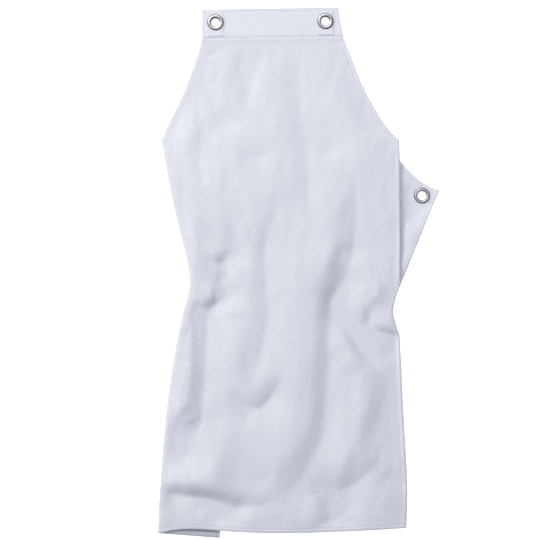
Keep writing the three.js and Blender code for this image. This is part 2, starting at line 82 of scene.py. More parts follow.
# Outline of the front: the armholes down to the corners, the folded sides and the hem.
BIB_TOP_Y = 391
CORNER_Y = 225
HEM_Y = -440
LEFT_ARMHOLE = (
    Edge(394, -165.4), Edge(361.5, -175.9), Edge(327.5, -187.9), Edge(293.5, -201.5),
    Edge(259.5, -218.5), Edge(225, -233.6),
)
RIGHT_ARMHOLE = (
    Edge(394, 77.6), Edge(361.5, 91.0), Edge(327.5, 104.6), Edge(293.5, 121.6),
    Edge(259.5, 142.0), Edge(240, 157.0), Edge(225, 171.2),
)
LEFT_FOLD = (
    Edge(225, -233.6), Edge(145.6, -218.5), Edge(89.5, -206.6), Edge(21.5, -189.6),
    Edge(-21, -185.6), Edge(-80.5, -199.8), Edge(-131.5, -210.0), Edge(-199.5, -220.2),
    Edge(-267.5, -227.8), Edge(-386.5, -236.6), Edge(-440, -239.0),
)
RIGHT_FOLD = (
    Edge(225, 171.2), Edge(191.5, 171.7), Edge(-17.6, 171.7), Edge(-46.5, 164.1),
    Edge(-66.9, 160.7), Edge(-94.1, 167.5), Edge(-107.7, 171.7), Edge(-233.5, 178.2),
    Edge(-369.5, 185.0), Edge(-440, 183.3),
)
HEM_LINE = (
    Edge(-443.9, -239.0), Edge(-437.2, -202.6), Edge(-436.5, -169.2), Edge(-441.2, -102.5),
    Edge(-443.3, -26.5), Edge(-439.5, 94.9), Edge(-434.8, 183.3),
)
# The bib leans with the band: its rows climb to the right, about this X, and more so up the bib.
BIB_TILT = 0.016
BIB_TILT_X = -46
BIB_TILT_Y = (230, 390)
# The rows above the hem take on its line over this height, and the columns crowd to the sides.
HEM_BLEND = 60
COLUMN_CROWD = 0.55

# Height of the front along its middle and near both sides.
LIFT = (
    Lift(446, 3.1, 3.1, 3.1), Lift(390, 3.1, 3.1, 3.1), Lift(330, 6.4, 2.3, 2.3),
    Lift(250, 10.5, 2.6, 2.6), Lift(225, 11.9, 4.0, 5.0), Lift(160, 15.0, 8.0, 9.0),
    Lift(60, 17.0, 9.5, 10.0), Lift(-20, 18.0, 9.5, 9.0), Lift(-92, 18.0, 9.0, 8.4),
    Lift(-120, 17.9, 8.9, 3.4), Lift(-160, 17.8, 8.8, 2.6), Lift(-250, 17.2, 8.6, 3.2),
    Lift(-300, 15.9, 8.2, 4.2), Lift(-340, 14.3, 7.6, 5.4), Lift(-375, 12.6, 6.6, 3.8),
    Lift(-400, 11.2, 5.4, 3.4), Lift(-420, 9.8, 4.0, 3.2), Lift(-440, 6.2, 2.6, 2.6),
)
# A turned side rises in a quick roll, which takes this share of the rise, and then over a long run. The bib
# rises over a run alone, and a turned part leaves its fold in a roll.
LEFT_TURN = Turn(share=0.4, roll=14, run=80)
RIGHT_TURN = Turn(share=0.3, roll=5, run=75)
BIB_RUN = 60
FLAP_ROLL = 9
# The armhole edge turns into the folded side between these steps from the corner.
CORNER_BLEND = (-25, 15)
# Folds and wrinkles end where the cloth is held: below the band, and within these ways of the other edges.
HELD_BAND_Y = (368, 396)
HELD_LEFT, HELD_RIGHT, HELD_HEM = 24, 8, 16
# Small roll along the right fold above the waist notch.
CRIMP_RISE, CRIMP_WIDTH, CRIMP_Y = 0.9, 2.4, (-60, -10)
# How sharply the bib and the part below it settle on what they lie on, and where one passes to the other.
BIB_SETTLE, SKIRT_SETTLE, SETTLE_BLEND = 3, 1.2, 60

# Band: corners of its front, its height, the lower edge of its front leaf, the radius and the start of its
# turn over the bib's top edge, and the level between its leaves, where the bib lies.
BAND_BOTTOM = ((-165.2, 394.8), (76.5, 398.9))
BAND_TOP = ((-164.4, 448.2), (67.2, 452.0))
BAND_HEIGHT = 53.2
BAND_SEAM = 3.4
BAND_SEAM_Y = 400
BAND_BEND = 1.3
BAND_TURN = BAND_HEIGHT - 1.8
BAND_MIDDLE_Z = 3.1
BAND_ROWS, BAND_ARC_ROWS, BAND_COLUMNS = 25, 9, 122
# The band's lower edge is pressed down over this way, unevenly, and its front ripples a little.
BAND_PRESS_REACH, BAND_PRESS, BAND_PRESS_UNEVEN = 2.6, 0.72, 0.25
BAND_RIPPLE, BAND_RIPPLE_WIDTH, BAND_RIPPLE_LENGTH, BAND_RIPPLE_SEED = 0.22, 22, 30, 1.7
# Painted shade along the band's top edge, and the share of its thickness that the pressed edge loses.
BAND_EDGE_SHADE, BAND_THINNING = 0.7, 0.7
# Rows of the bib inside the band, by the way up from its lower edge: even ones, then close ones to lead out.
BIB_ROWS_TOP, BIB_ROWS_END, BIB_ROWS = 48.5, 5.0, 13
LEAD_OUT = (3.8, 3.0, 2.0, 0.6, -1.0, -2.8, -4.4)
# Shares of the band's width: how far the bib stays inside it, and how far it widens below it.
BIB_INSET, LEFT_FLARE, RIGHT_FLARE = 0.008, 0.005, 0.0095

# Turned parts: free edge of the left side, second fold of the right side, free edge of the tab.
LEFT_TIP, LEFT_FOOT = (-86.5, 182.0), (-134.3, -451.8)
TAB_FOLD_TOP, TAB_FOLD_END, RIGHT_FOOT = (158.1, 203.4), (61.2, -289.6), (58.7, -434.8)
TAB_TIP, TAB_HEEL = (239.7, 140.5), (64.6, -288.0)
LEFT_COLUMNS, RIGHT_COLUMNS, TAB_COLUMNS = 9, 8, 20
# The armhole edges of the turned parts are hollow. The tab's hollow starts past the edge of the front.
LEFT_BOW, TAB_BOW, TAB_BOW_START = 5, 9, 0.15

# Heights of the turned parts, and the room that the front keeps over the table, over a layer and over the
# left eyelet.
FLAP_Z = 0.5
LEFT_EYELET_Z = 2.8
FLAP_OVER_TAB_Z = 3.0
TAB_Z, TAB_EYELET_Z, TAB_FOLD_Z = 1.4, 1.8, 2.2
TABLE_ROOM = 1.9
LAYER_ROOM = 1.4
WASHER_ROOM = 1.3
# Left of the first X the front lies over the left side, right of the second over the right side.
OVER_LEFT_X, OVER_RIGHT_X = -60, 30
# A turned part is flat around its eyelet to the first radius and level with the rest at the second.
EYELET_FLAT = (30, 66)
# The right flap climbs onto the tab between these ways from the tab's edge.
FLAP_CLIMB = (-34, -6)
# The tab and the flap on it stand up beside the front's edge and along the tab's edge, clear of the eyelet.
SWELL_X, SWELL_RISE, SWELL_REACH = 168, 4.2, 17
TAB_EDGE_X, TAB_EDGE_RISE, TAB_EDGE_REACH = 160, 4.5, 15
SWELL_FOOT, SWELL_HEAD, SWELL_CLEAR = (-24, 20), (150, 205), (18, 34)
# Share of the tab's folds that is lost on the flat around its eyelet.
TAB_FOLD_LOSS = 0.8
# Small wrinkles: their width, their length and where they start in the noise.
CRUMPLE_WIDTH, CRUMPLE_LENGTH, CRUMPLE_SEED = 34, 78, 4.2
# The cloth swells below the band's edge, unevenly: rise, where it is highest, reach and where it starts.
SEAM_SWELL, SEAM_SWELL_UNEVEN = 0.5, 0.6
SEAM_SWELL_WAY, SEAM_SWELL_REACH, SEAM_SWELL_START = 2.5, 5.0, (-1.2, 0.4)

# A way to the nearest edge where there is no edge.
FAR = 99.0
# Painted shade along the cut edges and the turned sides, each with its reach. The right side has it below the
# waist notch only, and the wrong side of the left flap, which shows below the hem, has painted shadow all
# over.
EDGE_SHADE, EDGE_SHADE_REACH = 0.15, 1.2
FOLD_SHADE, FOLD_SHADE_REACH = 0.25, 1.6
RIGHT_SHADE_Y, RIGHT_SHADE_SHIFT = -60, 9
WRONG_SIDE_SHADE = 0.8
# The double layer of a hem ends between these ways from the edge. The tab has no drawn seams.
HEM_PLIES = (7.5, 9.5)
TAB_SEAM_SHIFT = 12

# Folds of the front, chosen from light and shade. A row gives the line of the fold, the height of its
# ridge or the depth of its valley, its reach to the left and to the right of the way it runs, the shares of
# its length over which it grows and fades, and how flat its top is.
FOLDS = (
    Fold("long valley, upper part", ((99, 197), (98, 124), (94, 50), (88, 11)), -6, 58, 34, 0.8, 0.3, 1.25),
    Fold("long valley",
         ((99, 158), (98, 107), (94, 50), (86, 11), (72, -21), (57, -45), (52, -74), (50, -103), (50, -165),
          (45, -233), (38, -281), (25, -315), (6, -346), (-18, -373)),
         -10.5, 58, 32, 0.4, 0.2, 1.25),
    Fold("long brow",
         ((98, 183), (81, 137), (60, 93), (50, 52), (45, 18), (37, -12), (31, -46), (28, -114), (23, -169),
          (21, -223), (8, -274), (-13, -308), (-38, -339)),
         5, 20, 54, 0.4, 0.1, 1.7),
    Fold("long ledge", ((99, 54), (77, 50), (60, 39), (48, 15), (40, -19)), 2.5, 14, 24, 0.3, 0.4, 1.6),
    Fold("right shelf",
         ((60, -57), (76, -79), (98, -111), (120, -143), (139, -171)), -12, 37, 15, 0.12, 0.4, 1.35),
    Fold("shelf brow", ((59, -80), (76, -111), (93, -140), (111, -167)), 6, 17, 27, 0.4, 0.3, 1.8),
    Fold("right ridge",
         ((106, 6), (118, -4), (130, -18), (132, -35), (122, -46), (110, -60), (106, -77), (108, -94),
          (116, -108)),
         5.5, 14, 34, 0.35, 0.25, 1.6),
    Fold("right crease", ((118, -89), (128, -103), (145, -109), (174, -111)), -12, 15, 31, 0.05, 0.05, 1.2),
    Fold("right brow", ((122, -84), (140, -89), (169, -96)), 7, 31, 14, 0.2, 0.05, 1.8),
    Fold("lower right valley",
         ((159, -179), (142, -230), (127, -281), (115, -318)), -6, 44, 31, 0.5, 0.4, 1.3),
    Fold("lower right wedge",
         ((142, -301), (125, -334), (96, -359), (64, -392)), -9, 34, 24, 0.8, 0.1, 1.25),
    Fold("lower right brow",
         ((135, -176), (110, -233), (91, -288), (72, -329), (57, -363)), 5, 24, 37, 0.4, 0.2, 1.7),
    Fold("hollow brow", ((18, -376), (31, -398), (47, -422)), 3.5, 14, 31, 0.5, 0.3, 1.8),
    Fold("lower right hollow", ((37, -366), (48, -385), (62, -405), (76, -420)), -10, 27, 15, 0.1, 0.2, 1.35),
    Fold("lower right edge", ((139, -342), (161, -354), (184, -363)), -4, 20, 14, 0.4, 0.05, 1.3),
    Fold("left valley",
         ((-130, -50), (-140, -57), (-149, -69), (-154, -84), (-156, -114), (-156, -152), (-161, -205),
          (-162, -237), (-166, -257), (-173, -269)),
         -10, 61, 27, 0.16, 0.03, 1.3),
    Fold("left pocket", ((-181, -249), (-174, -262), (-164, -266)), -2.5, 22, 22, 0.3, 0.2, 2.0),
    Fold("left brow",
         ((-183, -84), (-184, -162), (-188, -198), (-193, -222), (-208, -239)), 5.5, 15, 26, 0.25, 0.2, 1.7),
    Fold("left pinch", ((-132, -52), (-145, -55), (-156, -67)), -6, 24, 14, 0.05, 0.4, 1.2),
    Fold("pinch brow", ((-167, -58), (-157, -46), (-140, -41)), 5, 24, 15, 0.3, 0.3, 1.8),
    Fold("upper left streak",
         ((-161, 100), (-149, 73), (-137, 45), (-125, 25)), -4.5, 34, 26, 0.7, 0.02, 1.6),
    Fold("upper left notch", ((-115, 28), (-125, 22), (-137, 8)), -4.5, 27, 14, 0.05, 0.3, 1.2),
    Fold("notch brow", ((-149, 20), (-139, 32), (-122, 39)), 3.5, 22, 14, 0.3, 0.3, 1.8),
    Fold("sling", ((-135, -9), (-125, -26), (-110, -40), (-96, -55), (-88, -74)), -8, 20, 17, 0.06, 0.6, 1.3),
    Fold("upper streak", ((-128, 120), (-115, 79), (-101, 42), (-96, 10)), -2.5, 12, 15, 0.4, 0.4, 1.7),
    Fold("centre streak",
         ((-38, 101), (-52, 62), (-57, 28), (-55, -2), (-57, -33), (-52, -70), (-57, -108), (-65, -145),
          (-76, -182)),
         -6, 41, 20, 0.2, 0.2, 1.3),
    Fold("pouch",
         ((-122, -191), (-101, -216), (-79, -230), (-65, -230), (-50, -216), (-37, -194), (-30, -171)),
         -10, 17, 44, 0.4, 0.35, 1.2),
    Fold("lobe", ((-159, -295), (-123, -274), (-89, -266), (-48, -257)), 2.5, 20, 58, 0.4, 0.4, 1.6),
    Fold("lobe shade", ((-150, -335), (-113, -349), (-69, -352), (-28, -332)), -6, 54, 26, 0.4, 0.4, 1.6),
    Fold("hem brow",
         ((-239, -351), (-201, -352), (-157, -358), (-116, -369), (-72, -378)), 13, 41, 20, 0.4, 0.5, 2.2),
    Fold("hem crease",
         ((-235, -368), (-210, -378), (-178, -380), (-161, -381), (-147, -385), (-130, -395), (-115, -403),
          (-94, -398), (-76, -398), (-48, -388)),
         -11, 15, 22, 0.2, 0.35, 1.3),
    Fold("hem streak", ((-169, -388), (-145, -407), (-123, -429)), -5, 8, 14, 0.2, 0.3, 1.3),
    Fold("left edge hollow", ((-222, -249), (-217, -267), (-208, -284)), -2, 7, 8, 0.4, 0.4, 1.5),
    Fold("left edge line",
         ((-215, -300), (-198, -320), (-184, -342), (-176, -358)), -4, 24, 10, 0.4, 0.4, 1.3),
    Fold("left edge nick", ((-207, -108), (-195, -103), (-184, -109)), -2.5, 7, 10, 0.4, 0.4, 1.5),
    Fold("left edge dent", ((-207, -140), (-195, -150), (-184, -160)), -2, 8, 8, 0.4, 0.4, 1.5),
    Fold("bib dip", ((-94, 392), (-93, 345), (-86, 307), (-88, 271)), -4, 19, 17, 0.4, 0.3, 1.6),
    Fold("bib fork", ((-59, 385), (-72, 345), (-84, 304)), -2.8, 15, 22, 0.4, 0.4, 1.6),
    Fold("bib bowl", ((-149, 275), (-120, 258), (-84, 261)), -3.5, 20, 19, 0.4, 0.4, 1.7),
    Fold("bib slant", ((-166, 343), (-149, 300), (-130, 268)), -3, 17, 17, 0.4, 0.4, 1.7),
    Fold("bib strip", ((-169, 287), (-164, 243), (-167, 195), (-162, 141)), -4, 27, 17, 0.4, 0.4, 1.6),
    Fold("bib cross", ((-106, 209), (-76, 192), (-45, 214)), -3.2, 20, 19, 0.4, 0.4, 1.6),
    Fold("bib streak",
         ((4, 396), (1, 328), (4, 277), (14, 226), (18, 124), (16, 18)), -5.5, 44, 26, 0.3, 0.3, 1.4),
    Fold("bib step", ((26, 192), (62, 214), (103, 239)), -3.5, 37, 19, 0.4, 0.4, 1.7),
    Fold("bib corner", ((-156, 368), (-142, 377), (-125, 385)), -1.5, 8, 8, 0.4, 0.4, 1.6),
    Fold("left shoulder", ((-191, 124), (-174, 56), (-174, -21)), 3, 24, 24, 0.5, 0.5, 2.0),
    Fold("tongue", ((-103, -77), (-106, -131), (-99, -176)), 3, 24, 24, 0.5, 0.5, 2.0),
)
TAB_FOLDS = (
    Fold("tab ridge", ((184, 40), (192, 70), (196, 92)), 3.0, 12, 12, 0.4, 0.4, 2.0),
    Fold("tab crease", ((178, 108), (190, 116), (197, 118)), -0.8, 6, 6, 0.4, 0.4, 1.5),
)
# A fold keeps a tenth of its height at a faded end, and more of it where the fade is a short one.
FADE_DEPTH = 0.9
LONG_FADE = 0.3

# Patches: half their size, the rounding of their corners, how far they sink in all and at their edges, and
# half the loop of stitches.
PATCH_HALF = (14.5, 21.5)
PATCH_CORNER = 2.2
PATCH_SINK, PATCH_EDGE_SINK, PATCH_EDGE_REACH = 0.25, 0.35, 1.8
PATCH_STITCH_HALF = (12.6, 19.6)

# Cloth paint: slant of the twill, scales of its noises, and how far from an edge its seams are drawn in and
# puckered. A patch counts from further out, so its line is close to its edge, and the band counts down from
# its lower edge, so it puckers there without a line.
TWILL_SLANT = 0.62
GRAIN_SCALE, SLUB_SCALE, PUCKER_SCALE = 900.0, 420.0, 150.0
MOTTLE_SCALE, CRINKLE_SCALE = 22.0, 70.0
SEAM_LINE, SEAM_LINE_WIDTH = 7.2, 1.1
PUCKER_LINE, PUCKER_WIDTH = 5.5, 5.0
BAND_SEAM_SHIFT = 4.4
PATCH_SEAM_SHIFT = 5.6

# Rings: points of the roll's section, how full it is, steps around, where the painted shade on its flank ends
# on the way up, and the angle over which an edge is sharp.
RING_POINTS, RING_FULLNESS, RING_STEPS = 15, 0.85, 64
FLANK_END = (0.68, 0.94)
SHARP_ANGLE = math.radians(50)
# An eyelet hole in cloth, hidden under its ring. The left tab's goes through the turned side only, which
# stays below this height.
HOLE_RADIUS = 10.2 * MM
LEFT_TAB_TOP = 6 * MM

# Stitches: pitch and half sizes, lift off the cloth, the height that they are set down from, how far the rows
# lie from the edges, and where they end.
STITCH_PITCH = 3.1
STITCH_HALF = (1.15, 0.36, 0.24)
STITCH_LIFT = 0.05
NEEDLE_Z = 100
LEFT_ARMHOLE_INSET, RIGHT_ARMHOLE_INSET, HEM_INSET = 8.0, 8.4, 7.0
TAB_SIDE_SHIFT, TAB_ARMHOLE_SHIFT = (-6.8, 2.6), (-4.4, -5.6)
ARMHOLE_STITCH_END = CORNER_Y + 4
HEM_STITCH_X = (-234, 180)
TAB_SIDE_SHARES, TAB_ARMHOLE_SHARES, BAND_STITCH_SHARES = (0.03, 0.5), (0.2, 0.95), (0.012, 0.988)
BAND_STITCH_ROWS = (5.2, 49.0)

# Stage, in metres.
TABLE_HALF = 4.0
TABLE_GAP = 0.0003
KEY_PLACE = (-3.45, 2.35, 3.1)
OVERHEAD_PLACE = (-0.2, 1.5, 2.0)
OVERHEAD_SIZE = 1.0
OVERHEAD_SHARE = 0.065
LIGHT_AIM = Vector((-0.03, 0.03, 0))
LAMP_COLOUR = (1.0, 0.985, 0.94)
SKY_COLOUR = (0.87, 0.89, 1.19)
VIEW_CENTRE = (-0.0486, 0.0044)
VIEW_Z = 0.008
SENSOR_WIDTH = 36


class ApronCloth(bpy.types.PropertyGroup):
    """Cloth of the apron"""

    thickness: FloatProperty(
        name="Thickness", description="Thickness of one layer of cloth", default=0.001, unit="LENGTH")
    hem_width: FloatProperty(
        name="Hem width", description="Width of the turned hems", default=0.009, unit="LENGTH")
    hem_layer: FloatProperty(
        name="Hem layer", description="Thickness that a hem adds on the wrong side", default=0.0008,
        unit="LENGTH")
    colour: FloatVectorProperty(
        name="Colour", description="Colour of the cloth", default=(0.83, 0.851, 0.833), size=3,
        subtype="COLOR")
    thread_colour: FloatVectorProperty(
        name="Thread", description="Colour of the sewing thread", default=(0.66, 0.68, 0.75), size=3,
        subtype="COLOR")
    twill_pitch: FloatProperty(
        name="Twill pitch", description="Distance between two twill lines", default=0.0016, unit="LENGTH")
    crumple: FloatProperty(
        name="Crumple", description="Height of the small wrinkles", default=0.0013, unit="LENGTH")
    rows: IntProperty(name="Rows", description="Rows of the sheet below the bib", default=204, min=40)
    columns: IntProperty(name="Columns", description="Columns across the front", default=140, min=30)


class ApronMetal(bpy.types.PropertyGroup):
    """Metal of the eyelets"""

    colour: FloatVectorProperty(
        name="Colour", description="Colour of the plating", default=(0.76, 0.745, 0.70), size=3,
        subtype="COLOR")
    # Painted shade: a dark colour on the ring's flanks for the dark that they reflect.
    painted_flank_shade: FloatVectorProperty(
        name="Tarnish", description="Colour of the dulled sides", default=(0.026, 0.022, 0.018), size=3,
        subtype="COLOR")
    roughness: FloatProperty(
        name="Roughness", description="Roughness of the plating", default=0.3, min=0, max=1,
        subtype="FACTOR")
    ring_radius: FloatProperty(
        name="Ring radius", description="Outer radius of the rolled ring", default=0.0133, unit="LENGTH")
    bore_radius: FloatProperty(
        name="Bore radius", description="Radius of the open bore", default=0.0078, unit="LENGTH")
    ring_height: FloatProperty(
        name="Ring height", description="Height of the rolled ring", default=0.002, unit="LENGTH")
    barrel_wall: FloatProperty(
        name="Barrel wall", description="Thickness of the barrel's wall", default=0.0006, unit="LENGTH")


class ApronStage(bpy.types.PropertyGroup):
    """Table, light and camera"""

    floor_colour: FloatVectorProperty(
        name="Table", description="Colour of the table", default=(0.93, 0.93, 0.94), size=3, subtype="COLOR")
    floor_glow: FloatProperty(
        name="Glow", description="Light that the table gives back by itself", default=0.8, min=0)
    key_power: FloatProperty(
        name="Key light", description="Power of the key light", default=158, unit="POWER")
    key_size: FloatProperty(
        name="Key size", description="Width of the key light", default=2.2, unit="LENGTH")
    sky: FloatProperty(name="Sky", description="Strength of the even light", default=0.45, min=0)
    view_width: FloatProperty(
        name="View width", description="Width of table in the picture", default=0.918, unit="LENGTH")
    lens: FloatProperty(
        name="Lens", description="Focal length of the camera", default=120, min=20, unit="CAMERA")


class Number:
    """A value of a node tree that takes part in sums"""

    def __init__(self, paint, socket):
        self.paint = paint
        self.socket = socket

    def math(self, operation, *values):
        return self.paint.node("ShaderNodeMath", {"operation": operation}, dict(enumerate(values)))

    def __add__(self, other):
        return self.math("ADD", self, other)

    def __radd__(self, other):
        return self.math("ADD", other, self)

    def __sub__(self, other):
        return self.math("SUBTRACT", self, other)

    def __rsub__(self, other):
        return self.math("SUBTRACT", other, self)

    def __mul__(self, other):
        return self.math("MULTIPLY", self, other)

    def __rmul__(self, other):
        return self.math("MULTIPLY", other, self)

    def __truediv__(self, other):
        return self.math("DIVIDE", self, other)

    def __rtruediv__(self, other):
        return self.math("DIVIDE", other, self)

    def bell(self, centre, width):
        """A soft hump of height one where this value is near the centre"""
        offset = (self - centre) / width
        return self.math("EXPONENT", 0 - offset * offset)

    def wave(self):
        return self.math("SINE", self)


class Paint:
    """Node tree of one material"""

    def __init__(self, name):
        self.material = bpy.data.materials.new(name)
        self.material.use_nodes = True
        self.tree = self.material.node_tree
        self.tree.nodes.clear()

    def node(self, kind, settings=None, inputs=None, output=0):
        """Adds a node with its settings and the values or links of its sockets, and gives one output"""
        node = self.tree.nodes.new(kind)
        for key, value in (settings or {}).items():
            setattr(node, key, value)
        for key, value in (inputs or {}).items():
            if isinstance(value, Number):
                self.tree.links.new(value.socket, node.inputs[key])
            else:
                node.inputs[key].default_value = value
        return Number(self, node.outputs[output]) if node.outputs else None

    def place(self):
        return self.node("ShaderNodeTexCoord", None, None, "Object")

    def mark(self, name):
        """A value that the mesh holds at each point"""
        return self.node("ShaderNodeAttribute", {"attribute_name": name}, None, "Fac")

    def mix(self, factor, first, second):
        """Colour between two colours, by the Mix node's numbered colour sockets"""
        return self.node("ShaderNodeMix", {"data_type": "RGBA"}, {0: factor, 6: first, 7: second}, 2)

    def noise(self, vector, scale, detail=2.0):
        inputs = {"Vector": vector, "Scale": scale, "Detail": detail}
        return self.node("ShaderNodeTexNoise", None, inputs, "Fac")

    def bump(self, height, strength, distance):
        inputs = {"Strength": strength, "Distance": distance, "Height": height}
        return self.node("ShaderNodeBump", None, inputs)

    def finish(self, inputs):
        shader = self.node("ShaderNodeBsdfPrincipled", None, inputs)
        self.node("ShaderNodeOutputMaterial", None, {"Surface": shader})
        return self.material


def shade(colour, share=1.0):
    """A colour for a socket, darker by its share"""
    return (*(share * part for part in colour), 1.0)


def cloth_paint():
    """White twill: fine ribs, slubs, a little mottling, drawn seams, paler double layers partly by painted
    light, painted shade along the edges
    """
    cloth = bpy.context.scene.apron_cloth
    paint = Paint("white_twill")
    place = paint.place()
    cut = paint.node("ShaderNodeUVMap", {"uv_map": "cut"})
    across = paint.node("ShaderNodeSeparateXYZ", None, {0: cut}, 0)
    along = paint.node("ShaderNodeSeparateXYZ", None, {0: cut}, 1)
    edge = paint.mark("edge")

    ribs = ((across + along * TWILL_SLANT) * (2 * math.pi / cloth.twill_pitch)).wave()
    grain = paint.noise(cut, GRAIN_SCALE, 3.0)
    slub = paint.noise(cut, SLUB_SCALE)
    mottle = paint.noise(place, MOTTLE_SCALE, 5.0)
    # Random tone from the mottle and the slubs, and paler where the cloth lies double: partly the look of
    # double cloth, partly painted light, and painted light alone on the tab.
    tone_and_painted_light = mottle * 0.2 + (slub - 0.5) * 2.8 + 0.4 - paint.mark("plies_and_painted_light") * 0.45
    weave_and_painted_light = paint.mix(tone_and_painted_light, shade(cloth.colour), shade(cloth.colour, 0.88))
    # Painted shade: the colour darkens where the mesh's painted shade mark is set, along edges and folds.
    colour = paint.mix(paint.mark("painted_shade"), weave_and_painted_light, shade(cloth.colour, 0.6))

    stitched = edge.bell(SEAM_LINE, SEAM_LINE_WIDTH)
    gathered = edge.bell(PUCKER_LINE, PUCKER_WIDTH)
    crinkle = paint.noise(place, CRINKLE_SCALE, 6.0)
    drawn = paint.noise(cut, PUCKER_SCALE) * gathered * 0.8 - stitched * 0.45
    relief = ribs * 0.03 + grain * 0.12 + slub * 0.2 + crinkle * 0.34 + drawn
    return paint.finish({
        "Base Color": colour, "Roughness": 0.84 + 0.1 * grain, "Normal": paint.bump(relief, 0.7, MM),
        "Sheen Weight": 0.06, "Sheen Roughness": 0.6, "Specular IOR Level": 0.22,
    })


def thread_paint():
    """Twisted sewing thread"""
    paint = Paint("sewing_thread")
    twist = paint.noise(paint.place(), 1400.0)
    thread = bpy.context.scene.apron_cloth.thread_colour
    colour = paint.mix(twist, shade(thread), shade(thread, 0.82))
    return paint.finish({"Base Color": colour, "Roughness": 0.7 + 0.2 * twist, "Specular IOR Level": 0.3})


def metal_paint():
    """Nickel plate with faint handling marks, and painted shade on its flanks for the dark that they reflect
    """
    metal = bpy.context.scene.apron_metal
    paint = Paint("nickel_plate")
    place = paint.place()
    marks = paint.noise(place, 420.0, 4.0)
    cloud = paint.noise(place, 60.0)
    flank = paint.mark("flank")
    bright = paint.mix(cloud, shade(metal.colour), shade(metal.colour, 0.9))
    # Painted shade on the flanks, by the ring's flank mark.
    colour = paint.mix(flank, bright, shade(metal.painted_flank_shade))
    rough = metal.roughness + 0.12 * marks + 0.32 * flank
    bump = paint.bump(marks, 0.25, 0.1 * MM)
    return paint.finish({"Base Color": colour, "Metallic": 1.0, "Roughness": rough, "Normal": bump})


def floor_paint():
    """Pale table top"""
    stage = bpy.context.scene.apron_stage
    paint = Paint("pale_table")
    pale = shade(stage.floor_colour)
    colour = paint.mix(paint.noise(paint.place(), 3.0), pale, shade(stage.floor_colour, 0.99))
    return paint.finish({
        "Base Color": colour, "Roughness": 0.9, "Emission Color": pale,
        "Emission Strength": stage.floor_glow,
    })


def shared(name, make):
    """A material that several pieces share, made by the first of them"""
    return bpy.data.materials.get(name) or make()


def eased(t):
    t = np.clip(t, 0.0, 1.0)
    return t * t * (3 - 2 * t)


def between(value, low, high):
    return eased((value - low) / (high - low))


def blend(a, b, t):
    return a + (b - a) * t


def bell(t):
    return np.exp(-(t**2))


def curved(start, end, leave, arrive, t):
    """Smooth way from start to end that leaves and arrives with given slopes"""
    return blend(start, end, eased(t)) + (t**3 - 2 * t**2 + t) * leave + (t**3 - t**2) * arrive


def through(keys, values, at):
    """Smooth curve through a table whose keys rise"""
    keys, values = np.asarray(keys, float), np.asarray(values, float)
    last = len(keys) - 1
    k = np.clip(np.searchsorted(keys, at) - 1, 0, last - 1)
    before = np.maximum(np.arange(last + 1) - 1, 0)
    after = np.minimum(np.arange(last + 1) + 1, last)
    slopes = (values[after] - values[before]) / (keys[after] - keys[before])
    span = keys[k + 1] - keys[k]
    t = np.clip((at - keys[k]) / span, 0, 1)
    return curved(values[k], values[k + 1], span * slopes[k], span * slopes[k + 1], t)


def looked_up(table, column, y):
    """Smooth curve through one column of a table whose rows go down the apron"""
    rows = table[::-1]
    return through([row.y for row in rows], [getattr(row, column) for row in rows], y)


def hem_y(x):
    return through([row.x for row in HEM_LINE], [row.y for row in HEM_LINE], x)


def bib_tilt(x):
    return BIB_TILT * (x - BIB_TILT_X)


def on_table(spot):
    """A place of the frame, in the millimetres of the tables"""
    return np.array(spot.xy) / MM - STEP


def in_frame(x, y, z):
    """A place of the tables, in the metres of the frame"""
    return Vector(((x + STEP[0]) * MM, (y + STEP[1]) * MM, z * MM))


def fold_line(path, steps=6):
    """Points of a smooth line through the path"""
    points = np.array(path, float)
    last = len(points) - 1
    line = []
    for k in range(last):
        leave = (points[k + 1] - points[max(k - 1, 0)]) / 2
        arrive = (points[min(k + 2, last)] - points[k]) / 2
        for t in np.linspace(0, 1, steps, endpoint=False):
            line.append(curved(points[k], points[k + 1], leave, arrive, t))
    line.append(points[-1])
    return np.array(line)


def fold_height(fold, x, y):
    """Height that one fold adds at each point, worked out only where the fold reaches"""
    line = fold_line(fold.path)
    reach = 4 * max(fold.left, fold.right)
    near = (x > line[:, 0].min() - reach) & (x < line[:, 0].max() + reach)
    near &= (y > line[:, 1].min() - reach) & (y < line[:, 1].max() + reach)
    height = np.zeros(x.shape)
    height[near] = fold_profile(fold, line, x[near], y[near])
    return height


def fold_profile(fold, line, x, y):
    """Height by the distance to the line of the fold, with its own reach on each side"""
    ex, ey = np.diff(line, axis=0).T
    px, py = x[:, None] - line[:-1, 0], y[:, None] - line[:-1, 1]
    t = np.clip((px * ex + py * ey) / (ex * ex + ey * ey), 0, 1)
    dx, dy = px - t * ex, py - t * ey
    distance = np.maximum(np.hypot(dx, dy), 1e-6)
    nearest = distance.min(1)
    # The pieces of the line share a point by their nearness, so that side and way change without a jump.
    share = (nearest[:, None] / distance) ** 8
    share = share / share.sum(1, keepdims=True)
    side = (share * (ex * dy - ey * dx) / (np.hypot(ex, ey) * distance)).sum(1)
    along = (share * (np.arange(len(ex)) + t)).sum(1) / len(ex)
    size = faded(along, fold.fade_in) * faded(1 - along, fold.fade_out)
    reach = blend(fold.right, fold.left, (1 + side) / 2) * (0.5 + 0.5 * size)
    return fold.rise * size * np.exp(-((nearest / reach) ** fold.round))


def faded(along, part):
    """Size of a fold by the way from one of its ends, over which it grows"""
    return 1 - min(1, part / LONG_FADE) * FADE_DEPTH * (1 - eased(along / part))


def quarter_round(inset, roll):
    return np.sqrt(1 - (1 - np.clip(inset / roll, 0, 1)) ** 2)


def turn_rise(inset, turn):
    """Rise from a turned edge, by the way in from it"""
    return turn.share * quarter_round(inset, turn.roll) + (1 - turn.share) * eased(inset / turn.run)


def from_eyelet(place, x, y):
    centre = on_table(EYELETS[place])
    return np.hypot(x - centre[0], y - centre[1])


